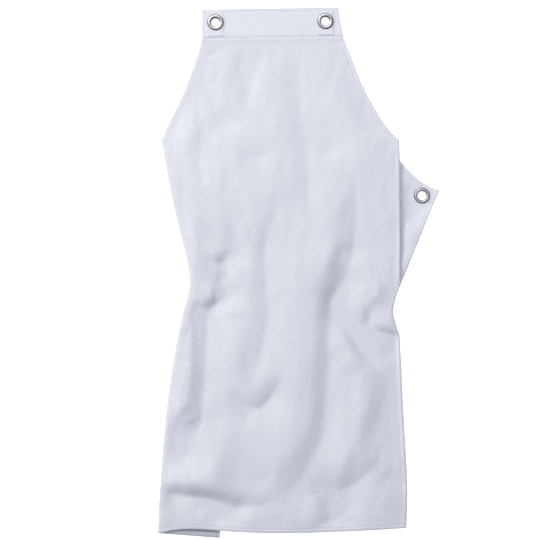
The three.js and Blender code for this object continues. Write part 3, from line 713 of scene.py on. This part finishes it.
def plateau(place, x, y):
    """One where the cloth lies flat around an eyelet of a turned part, nought away from it"""
    return 1 - between(from_eyelet(place, x, y), *EYELET_FLAT)


def left_flap_level(x, y):
    return blend(FLAP_Z, LEFT_EYELET_Z, plateau("tab_left", x, y))


def over_tab(x, y):
    """Way inwards from the tab's free edge, below nought outside the tab"""
    ex, ey = TAB_HEEL[0] - TAB_TIP[0], TAB_HEEL[1] - TAB_TIP[1]
    return (ey * (x - TAB_TIP[0]) - ex * (y - TAB_TIP[1])) / math.hypot(ex, ey)


def tab_swell(x, y):
    """The tab and the flap over it stand up a little where they come out from under the front"""
    clear = between(from_eyelet("tab_right", x, y), *SWELL_CLEAR) * between(y, *SWELL_FOOT)
    ahead = SWELL_RISE * bell((x - SWELL_X) / SWELL_REACH) * (1 - between(y, *SWELL_HEAD))
    side = TAB_EDGE_RISE * bell(over_tab(x, y) / TAB_EDGE_REACH) * (x > TAB_EDGE_X)
    return (ahead + side) * clear


def right_flap_level(x, y):
    return blend(FLAP_Z, FLAP_OVER_TAB_Z, between(over_tab(x, y), *FLAP_CLIMB)) + tab_swell(x, y)


def tab_level(x, y):
    near = plateau("tab_right", x, y)
    folds = sum(fold_height(fold, x, y) for fold in TAB_FOLDS)
    return blend(TAB_Z, TAB_EYELET_Z, near) + folds * (1 - TAB_FOLD_LOSS * near) + tab_swell(x, y)


def rest_level(x, y):
    """The lowest the front may lie, over whatever is turned under it"""
    left = left_flap_level(x, y) + WASHER_ROOM * plateau("tab_left", x, y) + LAYER_ROOM
    right = right_flap_level(x, y) + LAYER_ROOM
    return np.where(x < OVER_LEFT_X, left, np.where(x > OVER_RIGHT_X, right, TABLE_ROOM))


def kept_above(z, lowest, sharpness):
    """Follows z, but settles softly on the lowest level"""
    return lowest + np.log1p(np.exp(sharpness * (z - lowest))) / sharpness


def crumple(x, y):
    """Soft irregular wrinkles, longer along the apron than across it"""
    heights = []
    for across, along in zip(x.ravel() / CRUMPLE_WIDTH, y.ravel() / CRUMPLE_LENGTH):
        heights.append(noise.fractal(Vector((across, along, CRUMPLE_SEED)), 1.0, 2.1, 4))
    return np.array(heights).reshape(x.shape)


def pucker(x, seed):
    """Uneven ripples along a seam, from nought to one"""
    waves = np.sin(x / 2.9 + seed) + np.sin(x / 5.3 + 2.1 * seed) + 0.8 * np.sin(x / 9.7 + 0.7 * seed)
    return eased((waves + 2.8) / 5.6)


def seam_swell(x, way):
    """The cloth that swells just below the stitched edge of the band, by the way down from that edge"""
    rise = SEAM_SWELL + SEAM_SWELL_UNEVEN * pucker(x, 1.3)
    return rise * bell((way - SEAM_SWELL_WAY) / SEAM_SWELL_REACH) * between(way, *SEAM_SWELL_START)


def front_level(x, y, left_x, right_x):
    """Height of the front: its lift between the sides, folds and wrinkles, kept clear of what lies below"""
    wrinkle = bpy.context.scene.apron_cloth.crumple / MM
    turned = 1 - between(y - CORNER_Y, *CORNER_BLEND)
    left, right = x - left_x, right_x - x
    left_rise = blend(eased(left / BIB_RUN), turn_rise(left, LEFT_TURN), turned)
    right_rise = blend(eased(right / BIB_RUN), turn_rise(right, RIGHT_TURN), turned)
    side = blend(looked_up(LIFT, "left", y), looked_up(LIFT, "right", y), left / (right_x - left_x))
    z = blend(side, looked_up(LIFT, "middle", y), left_rise * right_rise)

    loose = (1 - between(y, *HELD_BAND_Y)) * eased((y - HEM_Y) / HELD_HEM)
    loose = loose * eased(left / HELD_LEFT) * eased(right / HELD_RIGHT)
    z = z + loose * (sum(fold_height(fold, x, y) for fold in FOLDS) + crumple(x, y) * wrinkle)
    crimp = CRIMP_RISE * bell(right / CRIMP_WIDTH) * turned * between(y, *CRIMP_Y)
    z = z + seam_swell(x, BAND_SEAM_Y - y) + crimp

    bib = kept_above(z, TABLE_ROOM, BIB_SETTLE)
    skirt = kept_above(z, rest_level(x, y), SKIRT_SETTLE)
    return blend(bib, skirt, 1 - between(y, CORNER_Y, CORNER_Y + SETTLE_BLEND))


def softened(z):
    """Evens out a grid of heights a little"""
    wide = np.pad(z, 1, mode="edge")
    return 0.5 * z + 0.125 * (wide[:-2, 1:-1] + wide[2:, 1:-1] + wide[1:-1, :-2] + wide[1:-1, 2:])


def band_point(u, v):
    """A place on the band, by the share of its width and the way up from its lower edge"""
    u, v = np.asarray(u)[..., None], np.asarray(v)[..., None] / BAND_HEIGHT
    low, high = (blend(np.array(left), np.array(right), u) for left, right in (BAND_BOTTOM, BAND_TOP))
    return blend(low, high, v)


def rows_in_band(shares):
    """Rows of the front inside the band, and a few close ones that lead out of it to the full width"""
    v = np.concatenate([np.linspace(BIB_ROWS_TOP, BIB_ROWS_END, BIB_ROWS), LEAD_OUT])[:, None]
    below = np.clip(v / LEAD_OUT[-1], 0, 1)
    start = np.where(v > 1, BIB_INSET, -LEFT_FLARE * below)
    stop = np.where(v > 1, 1 - BIB_INSET, 1 + RIGHT_FLARE * below)
    place = band_point(blend(start, stop, shares[None, :]), v)
    z = BAND_MIDDLE_Z + seam_swell(place[..., 0], BAND_SEAM - v)
    return Part(np.concatenate([place, z[..., None]], -1), place, np.full(z.shape, FAR))


def front_rows(y, shares):
    """Rows of the front at each y, with columns at shares of the width"""
    armhole = y > CORNER_Y
    left_x = np.where(armhole, looked_up(LEFT_ARMHOLE, "x", y), looked_up(LEFT_FOLD, "x", y))[:, None]
    right_x = np.where(armhole, looked_up(RIGHT_ARMHOLE, "x", y), looked_up(RIGHT_FOLD, "x", y))[:, None]
    x = blend(left_x, right_x, shares[None, :])
    rows = np.broadcast_to(y[:, None], x.shape)
    z = softened(front_level(x, rows, left_x, right_x))
    tilt = bib_tilt(x) * between(rows, *BIB_TILT_Y)
    dip = (hem_y(x) - HEM_Y) * (1 - between(rows, HEM_Y, HEM_Y + HEM_BLEND))
    from_side = np.where(armhole[:, None], np.minimum(x - left_x, right_x - x), FAR)
    edge = np.minimum(from_side, rows - HEM_Y)
    return Part(np.stack([x, rows + tilt + dip, z], -1), np.stack([x, rows], -1), edge)


def hollow(insets, start=0.0):
    """Sag of an armhole edge between its ends, at shares of its width"""
    t = np.clip((insets - start) / (1 - start), 0, 1)
    return 4 * t * (1 - t)


def bow_share(share):
    """How much of the armhole's hollow is left, by the share of the way down"""
    return np.maximum(0, 1 - 4 * share) ** 2


def turned_rows(start, end, insets, level, fold_z, sag=0.0):
    """Points of a turned part from fold to edge, the way left to the edge and the way from the fold"""
    start, end = start[:, None], end[:, None]
    width = np.linalg.norm(end - start, axis=-1)
    place = blend(start, end, insets[None, :, None])
    x = place[..., 0]
    y = place[..., 1] - sag
    inset = width * insets[None, :]
    z = blend(fold_z[:, None], level(x, y), quarter_round(inset, FLAP_ROLL))
    return np.stack([x, y, z], -1), width - inset, inset


def left_flap(y, fold):
    """Left side, turned under the front. Its columns run from the free edge to the fold"""
    share = (CORNER_Y - y) / (CORNER_Y - HEM_Y)
    end = blend(np.array(LEFT_TIP), np.array(LEFT_FOOT), share[:, None])
    insets = np.linspace(0, 1, LEFT_COLUMNS + 1)[1:] ** 1.5
    sag = LEFT_BOW * bow_share(share)[:, None] * hollow(insets)
    points, to_edge, inset = turned_rows(fold[:, :2], end, insets, left_flap_level, fold[:, 2], sag)
    edge = np.minimum(to_edge, np.minimum(CORNER_Y - y, y - HEM_Y)[:, None])
    cut = np.stack([fold[:, :1] - inset, points[..., 1]], -1)
    return Part(points[:, ::-1], cut[:, ::-1], edge[:, ::-1])


def tab_share(y):
    """Share of the way down the tab, over one below it"""
    return (CORNER_Y - y) / (CORNER_Y - TAB_FOLD_END[1])


def tab_fold(y):
    """Second fold of the right side, where the tab turns back, and the free edge below it"""
    foot_share = (TAB_FOLD_END[1] - y) / (TAB_FOLD_END[1] - HEM_Y)
    upper = blend(np.array(TAB_FOLD_TOP), np.array(TAB_FOLD_END), tab_share(y)[:, None])
    lower = blend(np.array(TAB_FOLD_END), np.array(RIGHT_FOOT), foot_share[:, None])
    return np.where(tab_share(y)[:, None] <= 1, upper, lower)


def right_flap(y, fold):
    """Right side, turned under the front along a crisp fold"""
    insets = eased(np.linspace(0, 1, RIGHT_COLUMNS + 1))[1:]
    points, to_edge, inset = turned_rows(fold[:, :2], tab_fold(y), insets, right_flap_level, fold[:, 2])
    on_tab = tab_share(y) <= 1
    points[on_tab, -1, 2] = TAB_FOLD_Z
    to_edge = np.where(on_tab[:, None], FAR, to_edge)
    edge = np.minimum(to_edge, np.minimum(CORNER_Y - y, y - HEM_Y)[:, None])
    return Part(points, np.stack([fold[:, :1] + inset, points[..., 1]], -1), edge)


def tab(y, flap):
    """Tab of the right side, turned back out past the edge of the front"""
    share = tab_share(y)
    end = blend(np.array(TAB_TIP), np.array(TAB_HEEL), share[:, None])
    insets = np.linspace(0, 1, TAB_COLUMNS + 1)[1:]
    sag = TAB_BOW * bow_share(share)[:, None] * hollow(insets, TAB_BOW_START)
    fold_z = np.full(len(y), TAB_FOLD_Z)
    points, to_edge, inset = turned_rows(tab_fold(y), end, insets, tab_level, fold_z, sag)
    points[share > 1] = np.nan
    edge = np.minimum(to_edge, (CORNER_Y - y)[:, None])
    return Part(points, np.stack([flap.cut[:, -1:, 0] + inset, points[..., 1]], -1), edge)


def below_bib(part, rows):
    """A turned part with empty rows on top, level with the bib and the band"""
    empty = Part(np.nan, 0.0, FAR)
    above = (np.full((rows, *table.shape[1:]), fill) for table, fill in zip(part, empty))
    return Part(*map(np.concatenate, zip(above, part)))


def panel_sheet():
    """Points of the whole sheet, missing where there is no cloth, with its cut and its marks"""
    cloth = bpy.context.scene.apron_cloth
    line = np.linspace(0, 1, cloth.columns)
    shares = line - COLUMN_CROWD * np.sin(2 * np.pi * line) / (2 * np.pi)
    pitch = (CORNER_Y - HEM_Y) / (cloth.rows - 1)
    bib_y = np.linspace(BIB_TOP_Y, CORNER_Y, round((BIB_TOP_Y - CORNER_Y) / pitch))[:-1]
    skirt_y = np.linspace(CORNER_Y, HEM_Y, cloth.rows)

    upper = rows_in_band(shares)
    lower = front_rows(np.concatenate([bib_y, skirt_y]), shares)
    front = Part(*map(np.concatenate, zip(upper, lower)))
    top = len(front.edge) - cloth.rows
    left = left_flap(skirt_y, front.points[top:, 0])
    right = right_flap(skirt_y, front.points[top:, -1])
    turned = [below_bib(part, top) for part in (left, right, tab(skirt_y, right))]
    parts = (turned[0], front, turned[1], turned[2])
    sheet = Part(*(np.concatenate(tables, 1) for tables in zip(*parts)))
    return sheet.points, sheet.cut, panel_marks(sheet, top)


def panel_marks(sheet, top):
    """Marks of the panel: way to the edges for hems and seams, painted shade along the edges, and paler
    double layers partly by painted light
    """
    columns = bpy.context.scene.apron_cloth.columns
    front = np.s_[top:, LEFT_COLUMNS:LEFT_COLUMNS + columns]
    x, y = sheet.cut[front][..., 0], sheet.cut[front][..., 1]
    from_fold = np.full(sheet.edge.shape, FAR)
    from_right = 2 * (x[:, -1:] - x) + RIGHT_SHADE_SHIFT * (y > RIGHT_SHADE_Y)
    from_fold[front] = np.minimum(x - x[:, :1], from_right)
    # Painted shade along the cut edges and the folds, and painted shadow all over the wrong side of the left
    # flap.
    along_edge = EDGE_SHADE * bell(sheet.edge / EDGE_SHADE_REACH)
    painted_shades = np.maximum(along_edge, FOLD_SHADE * bell(from_fold / FOLD_SHADE_REACH))
    painted_shades[:, :LEFT_COLUMNS - 1] = WRONG_SIDE_SHADE
    # Painted light: the tab is paler all over, like a double layer, to make up for the light that the front
    # keeps off it.
    seams = sheet.edge.copy()
    seams[:, -TAB_COLUMNS:] += TAB_SEAM_SHIFT
    plies_and_painted_light = 1 - between(seams, *HEM_PLIES)
    plies_and_painted_light[:, -TAB_COLUMNS:] = 1
    return {"hem": sheet.edge, "edge": seams, "painted_shade": painted_shades, "plies_and_painted_light": plies_and_painted_light}


def grid_mesh(points, cuts, marks):
    """A bmesh grid laid on a table of points, without the places that have none"""
    rows, columns = points.shape[:2]
    bm = bmesh.new()
    bmesh.ops.create_grid(bm, x_segments=columns - 1, y_segments=rows - 1, size=0.5)
    uv = bm.loops.layers.uv.new("cut")
    for name in marks:
        bm.verts.layers.float.new(name)
    bm.verts.layers.deform.verify()
    layers = {name: bm.verts.layers.float[name] for name in marks}
    spots = {}
    for v in bm.verts:
        spots[v] = (round((0.5 - v.co.y) * (rows - 1)), round((v.co.x + 0.5) * (columns - 1)))
    bare = []
    for v, spot in spots.items():
        if np.isnan(points[spot][2]):
            bare.append(v)
            continue
        v.co = in_frame(*points[spot])
        for name, layer in layers.items():
            v[layer] = marks[name][spot]
    for face in bm.faces:
        for loop in face.loops:
            loop[uv].uv = cuts[spots[loop.vert]] * MM
    bmesh.ops.delete(bm, geom=bare, context="VERTS")
    bm.normal_update()
    return bm


def open_hole(bm, centre, highest=math.inf):
    """Opens a round hole in a sheet and draws its edge to a circle under the ring"""
    def out(v):
        """Way from the middle of the hole, with its radius as one"""
        return (v.co.xy - centre.xy).length / HOLE_RADIUS

    near = [v for v in bm.verts if v.co.z < highest and out(v) < 1.6]
    inside = [v for v in near if out(v) < 0.92]
    if not inside:
        raise RuntimeError("There is no cloth where an eyelet hole should open")
    bmesh.ops.delete(bm, geom=inside, context="VERTS")
    for v in near:
        if v.is_valid and v.is_boundary and out(v) < 1.5:
            v.co.xy = centre.xy + (v.co.xy - centre.xy) / out(v)


def finished(name, bm, material):
    """Object of a finished mesh that rides on the apron"""
    if not bm.faces:
        raise RuntimeError(f"The piece {name} has no faces")
    mesh = bpy.data.meshes.new(name)
    bm.to_mesh(mesh)
    bm.free()
    mesh.shade_smooth()
    mesh.materials.append(material)
    obj = bpy.data.objects.new(name, mesh)
    bpy.context.collection.objects.link(obj)
    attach(obj, "root")
    return obj


def walled(piece, thickness, offset, grouped):
    """Gives a sheet its thickness, which its vertex group scales if it is grouped, and an even shading"""
    wall = piece.modifiers.new("wall", "SOLIDIFY")
    wall.thickness = thickness
    wall.offset = offset
    if grouped:
        piece.vertex_groups.new(name="layers")
        wall.vertex_group = "layers"
    # Shades the broad faces as one, so that the narrow side wall doesn't round them off.
    even = piece.modifiers.new("even", "WEIGHTED_NORMAL")
    even.mode = "FACE_AREA"
    even.weight = 90


class APRON_OT_panel(bpy.types.Operator):
    """Cloth panel: front, turned sides and tab in one sheet"""

    bl_idname = "apron.panel"
    bl_label = "Panel"

    def execute(self, context):
        cloth = context.scene.apron_cloth
        bm = grid_mesh(*panel_sheet())
        for place in EYELETS:
            open_hole(bm, EYELETS[place], LEFT_TAB_TOP if place == "tab_left" else math.inf)
        bm.normal_update()
        hem = bm.verts.layers.float["hem"]
        layers = bm.verts.layers.deform.active
        whole = cloth.thickness + cloth.hem_layer
        for v in bm.verts:
            v[layers][0] = 1.0 if v[hem] <= cloth.hem_width / MM else cloth.thickness / whole
        for v in bm.verts:
            v.co += v.normal * cloth.thickness / 2
        panel = finished("panel", bm, shared("white_twill", cloth_paint))
        walled(panel, whole, -1, True)
        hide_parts("apron_panel")
        return {"FINISHED"}


def band_sheet():
    """Points of the band, turned round at the end to run from its back edge over the top to its front edge"""
    leaf = np.linspace(BAND_SEAM, BAND_TURN, BAND_ROWS)
    back = np.linspace(0, BAND_TURN, BAND_ROWS)
    arc = np.linspace(0, np.pi, BAND_ARC_ROWS)[1:-1]
    v = np.concatenate([leaf, BAND_TURN + BAND_BEND * np.sin(arc), back[::-1]])
    bend = np.concatenate([np.ones(len(leaf)), np.cos(arc), -np.ones(len(back))])
    ahead = np.concatenate([np.ones(len(leaf)), np.full(len(arc), 0.5), np.zeros(len(back))])
    pressed = bell((v - BAND_SEAM) / BAND_PRESS_REACH) * (ahead == 1)
    u = np.linspace(0, 1, BAND_COLUMNS)
    place = band_point(*np.broadcast_arrays(u[None, :], v[:, None]))

    def across(column):
        return np.broadcast_to(column[:, None], place.shape[:2])[::-1]

    ripple = []
    for x, y in place.reshape(-1, 2) / (BAND_RIPPLE_WIDTH, BAND_RIPPLE_LENGTH):
        ripple.append(noise.fractal(Vector((x, y, BAND_RIPPLE_SEED)), 1.0, 2.0, 3))
    ripple = np.reshape(ripple, place.shape[:2]) * (BAND_RIPPLE * ahead * (1 - pressed))[:, None]
    drawn = pressed[:, None] * (BAND_PRESS - BAND_PRESS_UNEVEN * pucker(place[..., 0], 0.4))
    height = BAND_MIDDLE_Z + BAND_BEND * bend[:, None] + ripple - drawn
    points = np.concatenate([place, height[..., None]], -1)[::-1]
    marks = {
        "edge": across(np.where(ahead == 1, BAND_SEAM_SHIFT + BAND_SEAM - v, FAR)),
        # Painted shade along the top of the turn.
        "painted_shade": across(BAND_EDGE_SHADE * bell(v - BAND_TURN - BAND_BEND)),
        # The band is paler all over, partly as double cloth and partly by painted light.
        "plies_and_painted_light": np.ones(height.shape),
        "thin": across(1 - BAND_THINNING * pressed),
    }
    return points, place[::-1], marks


class APRON_OT_band(bpy.types.Operator):
    """Bib band folded over the top edge, with its two eyelet patches"""

    bl_idname = "apron.band"
    bl_label = "Band and patches"

    def execute(self, context):
        bm = grid_mesh(*band_sheet())
        thin = bm.verts.layers.float["thin"]
        layers = bm.verts.layers.deform.active
        for v in bm.verts:
            v[layers][0] = v[thin]
        for place in ("bib_left", "bib_right"):
            open_hole(bm, EYELETS[place])
        self.dress("band", bm, "bib_band", (0.242, 0.107), 1.0, True)
        for side in ("left", "right"):
            self.patch(side)
        return {"FINISHED"}

    def dress(self, name, bm, node, flat, share, grouped):
        """Piece of laid cloth that stands for a node, with a share of the cloth's thickness"""
        piece = finished(name, bm, shared("white_twill", cloth_paint))
        walled(piece, bpy.context.scene.apron_cloth.thickness * share, 0, grouped)
        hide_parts(node)

    def patch(self, side):
        """Square of cloth with turned edges under an eyelet"""
        half = Vector(PATCH_HALF) * MM
        corner = PATCH_CORNER * MM
        bm = bmesh.new()
        bmesh.ops.create_grid(bm, x_segments=24, y_segments=36, size=1)
        bmesh.ops.scale(bm, vec=(half.x, half.y, 1), verts=bm.verts)
        uv = bm.loops.layers.uv.new("cut")
        edge = bm.verts.layers.float.new("edge")
        plies_and_painted_light = bm.verts.layers.float.new("plies_and_painted_light")
        for v in bm.verts:
            over = Vector((max(abs(v.co.x) - half.x + corner, 0), max(abs(v.co.y) - half.y + corner, 0)))
            inset = min(half.x - abs(v.co.x), half.y - abs(v.co.y)) / MM
            v[edge] = inset + PATCH_SEAM_SHIFT
            v[plies_and_painted_light] = 1.0
            v.co.z = -(PATCH_SINK + PATCH_EDGE_SINK * bell(inset / PATCH_EDGE_REACH)) * MM
            if over.length > corner:
                pull = over * (1 - corner / over.length)
                v.co.x -= math.copysign(pull.x, v.co.x)
                v.co.y -= math.copysign(pull.y, v.co.y)
        for face in bm.faces:
            for loop in face.loops:
                loop[uv].uv = loop.vert.co.xy
        bmesh.ops.rotate(bm, matrix=Matrix.Rotation(BIB_TILT, 3, "Z"), verts=bm.verts)
        bmesh.ops.translate(bm, vec=node_centre(f"eyelet_patch_{side}"), verts=bm.verts)
        open_hole(bm, EYELETS[f"bib_{side}"])
        self.dress(f"patch_{side}", bm, f"eyelet_patch_{side}", (0.029, 0.043), 0.5, False)


class APRON_OT_eyelets(bpy.types.Operator):
    """Rolled rings with their barrels, and the back washers"""

    bl_idname = "apron.eyelets"
    bl_label = "Eyelets"

    def execute(self, context):
        metal = shared("nickel_plate", metal_paint)
        for place in EYELETS:
            self.ring(place, metal)
            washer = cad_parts[f"washer_{place}"]
            washer.data.materials.clear()
            washer.data.materials.append(metal)
        return {"FINISHED"}

    def profile(self, sizes, barrel):
        """Section of a ring from the foot of its bore over the roll to the outside of its barrel"""
        middle = (sizes.ring_radius + sizes.bore_radius) / 2
        half = (sizes.ring_radius - sizes.bore_radius) / 2
        points = [(sizes.bore_radius, -barrel), (sizes.bore_radius, -0.4 * barrel)]
        for angle in np.linspace(math.pi, 0, RING_POINTS):
            rise = sizes.ring_height * math.sin(angle) ** RING_FULLNESS
            points.append((middle + half * math.cos(angle), rise))
        outside = sizes.bore_radius + sizes.barrel_wall
        return points + [(outside, 0.0), (outside, -barrel)]

    def ring(self, place, metal):
        """Ring with its barrel, upside down on the turned left side"""
        sizes = bpy.context.scene.apron_metal
        low, high = (Vector(corner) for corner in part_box(f"eyelet_{place}"))
        section = self.profile(sizes, high.z - low.z - sizes.ring_height)
        bm = bmesh.new()
        verts = [bm.verts.new((radius, 0, height)) for radius, height in section]
        edges = [bm.edges.new(pair) for pair in zip(verts, verts[1:] + verts[:1])]
        bmesh.ops.spin(
            bm, geom=verts + edges, cent=(0, 0, 0), axis=UP, angle=2 * math.pi, steps=RING_STEPS,
            use_merge=True)
        bmesh.ops.remove_doubles(bm, verts=bm.verts, dist=1e-6)
        # Painted shade: the flanks below the crest take the dark colour.
        flank = bm.verts.layers.float.new("flank")
        for v in bm.verts:
            v[flank] = 1 - float(between(v.co.z / sizes.ring_height, *FLANK_END))
        seat = high.z - sizes.ring_height
        if place == "tab_left":
            bmesh.ops.rotate(bm, matrix=Matrix.Rotation(math.pi, 3, "X"), verts=bm.verts)
            seat = low.z + sizes.ring_height
        bmesh.ops.translate(bm, vec=(EYELETS[place].x, EYELETS[place].y, seat), verts=bm.verts)
        bmesh.ops.recalc_face_normals(bm, faces=bm.faces)
        for e in bm.edges:
            if len(e.link_faces) == 2 and e.calc_face_angle() > SHARP_ANGLE:
                e.smooth = False
        ring = finished(f"ring_{place}", bm, metal)
        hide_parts(f"eyelet_{place}")


def even_places(points, pitch):
    """Places at an even pitch along a line of points, each with its direction"""
    steps = np.linalg.norm(np.diff(points, axis=0), axis=1)
    way = np.concatenate([[0], np.cumsum(steps)])
    places = np.arange(pitch / 2, way[-1], pitch)
    line = np.stack([np.interp(places, way, points[:, k]) for k in range(2)], -1)
    turn = np.gradient(line, axis=0)
    return zip(line, np.arctan2(turn[:, 1], turn[:, 0]))


class APRON_OT_stitches(bpy.types.Operator):
    """Rows of stitches along the hems, the band and the patches"""

    bl_idname = "apron.stitches"
    bl_label = "Stitches"

    def execute(self, context):
        seams = {"panel": self.panel_seams(), "band": self.band_seams()}
        for side in ("left", "right"):
            seams[f"patch_{side}"] = self.patch_seams(side)
        thread = shared("sewing_thread", thread_paint)
        for piece, lines in seams.items():
            bm = bmesh.new()
            self.sew(bm, bpy.data.objects[piece], lines)
            finished(f"{piece}_stitches", bm, thread)
        return {"FINISHED"}

    def panel_seams(self):
        """Seams of both armholes, of the hem and of the tab's two edges"""
        y = np.linspace(BIB_TOP_Y, ARMHOLE_STITCH_END, 40)
        armholes = []
        for table, inset in ((LEFT_ARMHOLE, LEFT_ARMHOLE_INSET), (RIGHT_ARMHOLE, -RIGHT_ARMHOLE_INSET)):
            edge = looked_up(table, "x", y)
            armholes.append(np.stack([edge + inset, y + bib_tilt(edge)], -1))
        x = np.linspace(*HEM_STITCH_X, 60)
        hem = np.stack([x, hem_y(x) + HEM_INSET], -1)
        down = np.linspace(*TAB_SIDE_SHARES, 20)[:, None]
        side = blend(np.array(TAB_TIP), np.array(TAB_HEEL), down) + TAB_SIDE_SHIFT
        out = np.linspace(*TAB_ARMHOLE_SHARES, 20)[:, None]
        armhole = blend(np.array(TAB_FOLD_TOP), np.array(TAB_TIP), out) + TAB_ARMHOLE_SHIFT
        armhole[:, 1:] -= TAB_BOW * hollow(out, TAB_BOW_START)
        return [*armholes, hem, side, armhole]

    def band_seams(self):
        u = np.linspace(*BAND_STITCH_SHARES, 40)
        return [band_point(u, np.full(len(u), row)) for row in BAND_STITCH_ROWS]

    def patch_seams(self, side):
        middle = on_table(node_centre(f"eyelet_patch_{side}"))
        corners = np.array(((-1, -1), (1, -1), (1, 1), (-1, 1), (-1, -1))) * PATCH_STITCH_HALF
        return [middle + np.linspace(a, b, 12) for a, b in zip(corners, corners[1:])]

    def sew(self, bm, cloth, lines):
        """Lays stitches on the cloth along each line"""
        tree = BVHTree.FromObject(cloth, bpy.context.evaluated_depsgraph_get())
        stitch = Matrix.Diagonal((*(MM * half for half in STITCH_HALF), 1))
        for points in lines:
            for place, turn in even_places(points, STITCH_PITCH):
                spot, normal, _, _ = tree.ray_cast(in_frame(*place, NEEDLE_Z), -UP)
                if spot is None:
                    raise RuntimeError(f"A stitch misses the {cloth.name}")
                lie = UP.rotation_difference(normal).to_matrix().to_4x4()
                seat = Matrix.Translation(spot + normal * STITCH_LIFT * MM)
                where = seat @ lie @ Matrix.Rotation(turn, 4, "Z") @ stitch
                bmesh.ops.create_uvsphere(bm, u_segments=6, v_segments=4, radius=1, matrix=where)


class APRON_OT_stage(bpy.types.Operator):
    """Pale table, soft light from the upper left and the camera straight above"""

    bl_idname = "apron.stage"
    bl_label = "Stage"

    def execute(self, context):
        stage = context.scene.apron_stage
        self.table(context)
        self.light("key", KEY_PLACE, stage.key_size, stage.key_power)
        self.light("overhead", OVERHEAD_PLACE, OVERHEAD_SIZE, OVERHEAD_SHARE * stage.key_power)
        self.sky(context.scene, stage.sky)
        self.camera(stage)
        return {"FINISHED"}

    def table(self, context):
        bm = bmesh.new()
        bmesh.ops.create_grid(bm, x_segments=8, y_segments=8, size=TABLE_HALF)
        bmesh.ops.translate(bm, vec=(0, 0, -TABLE_GAP), verts=bm.verts)
        mesh = bpy.data.meshes.new("table_top")
        bm.to_mesh(mesh)
        bm.free()
        mesh.materials.append(floor_paint())
        table = bpy.data.objects.new("table_top", mesh)
        context.collection.objects.link(table)

    def light(self, name, place, size, power):
        lamp = bpy.data.lights.new(name, "AREA")
        lamp.shape = "DISK"
        lamp.size = size
        lamp.energy = power
        lamp.color = LAMP_COLOUR
        obj = bpy.data.objects.new(name, lamp)
        obj.location = place
        obj.rotation_euler = (LIGHT_AIM - Vector(place)).to_track_quat("-Z", "Y").to_euler()
        bpy.context.collection.objects.link(obj)

    def sky(self, scene, strength):
        world = bpy.data.worlds.new("even_light")
        world.use_nodes = True
        sky = world.node_tree.nodes["Background"]
        sky.inputs["Color"].default_value = shade(SKY_COLOUR)
        sky.inputs["Strength"].default_value = strength
        scene.world = world
        scene.view_settings.view_transform = "Standard"

    def camera(self, stage):
        lens = bpy.data.cameras.new("camera")
        lens.lens = stage.lens
        lens.sensor_width = SENSOR_WIDTH
        camera = bpy.data.objects.new("camera", lens)
        camera.location = (*VIEW_CENTRE, stage.view_width * stage.lens / SENSOR_WIDTH + VIEW_Z)
        bpy.context.collection.objects.link(camera)
        bpy.context.scene.camera = camera


class APRON_PT_panel(bpy.types.Panel):
    """Sizes, colours and steps of the laid apron"""

    bl_label = "Apron"
    bl_space_type = "VIEW_3D"
    bl_region_type = "UI"
    bl_category = "Apron"

    def draw(self, context):
        for name, kind in GROUPS.items():
            for setting in kind.__annotations__:
                self.layout.prop(getattr(context.scene, name), setting)
        for operator in STEPS:
            self.layout.operator(operator.bl_idname)


STEPS = (APRON_OT_panel, APRON_OT_band, APRON_OT_eyelets, APRON_OT_stitches, APRON_OT_stage)
GROUPS = {"apron_cloth": ApronCloth, "apron_metal": ApronMetal, "apron_stage": ApronStage}


def register():
    for kind in (*GROUPS.values(), *STEPS, APRON_PT_panel):
        bpy.utils.register_class(kind)
    for name, kind in GROUPS.items():
        setattr(bpy.types.Scene, name, PointerProperty(type=kind))


def unregister():
    for name in GROUPS:
        delattr(bpy.types.Scene, name)
    for kind in (APRON_PT_panel, *reversed(STEPS), *reversed(GROUPS.values())):
        bpy.utils.unregister_class(kind)


def main():
    register()
    bpy.ops.apron.panel()
    bpy.ops.apron.band()
    bpy.ops.apron.eyelets()
    bpy.ops.apron.stitches()
    bpy.ops.apron.stage()


if __name__ == "__main__":
    main()
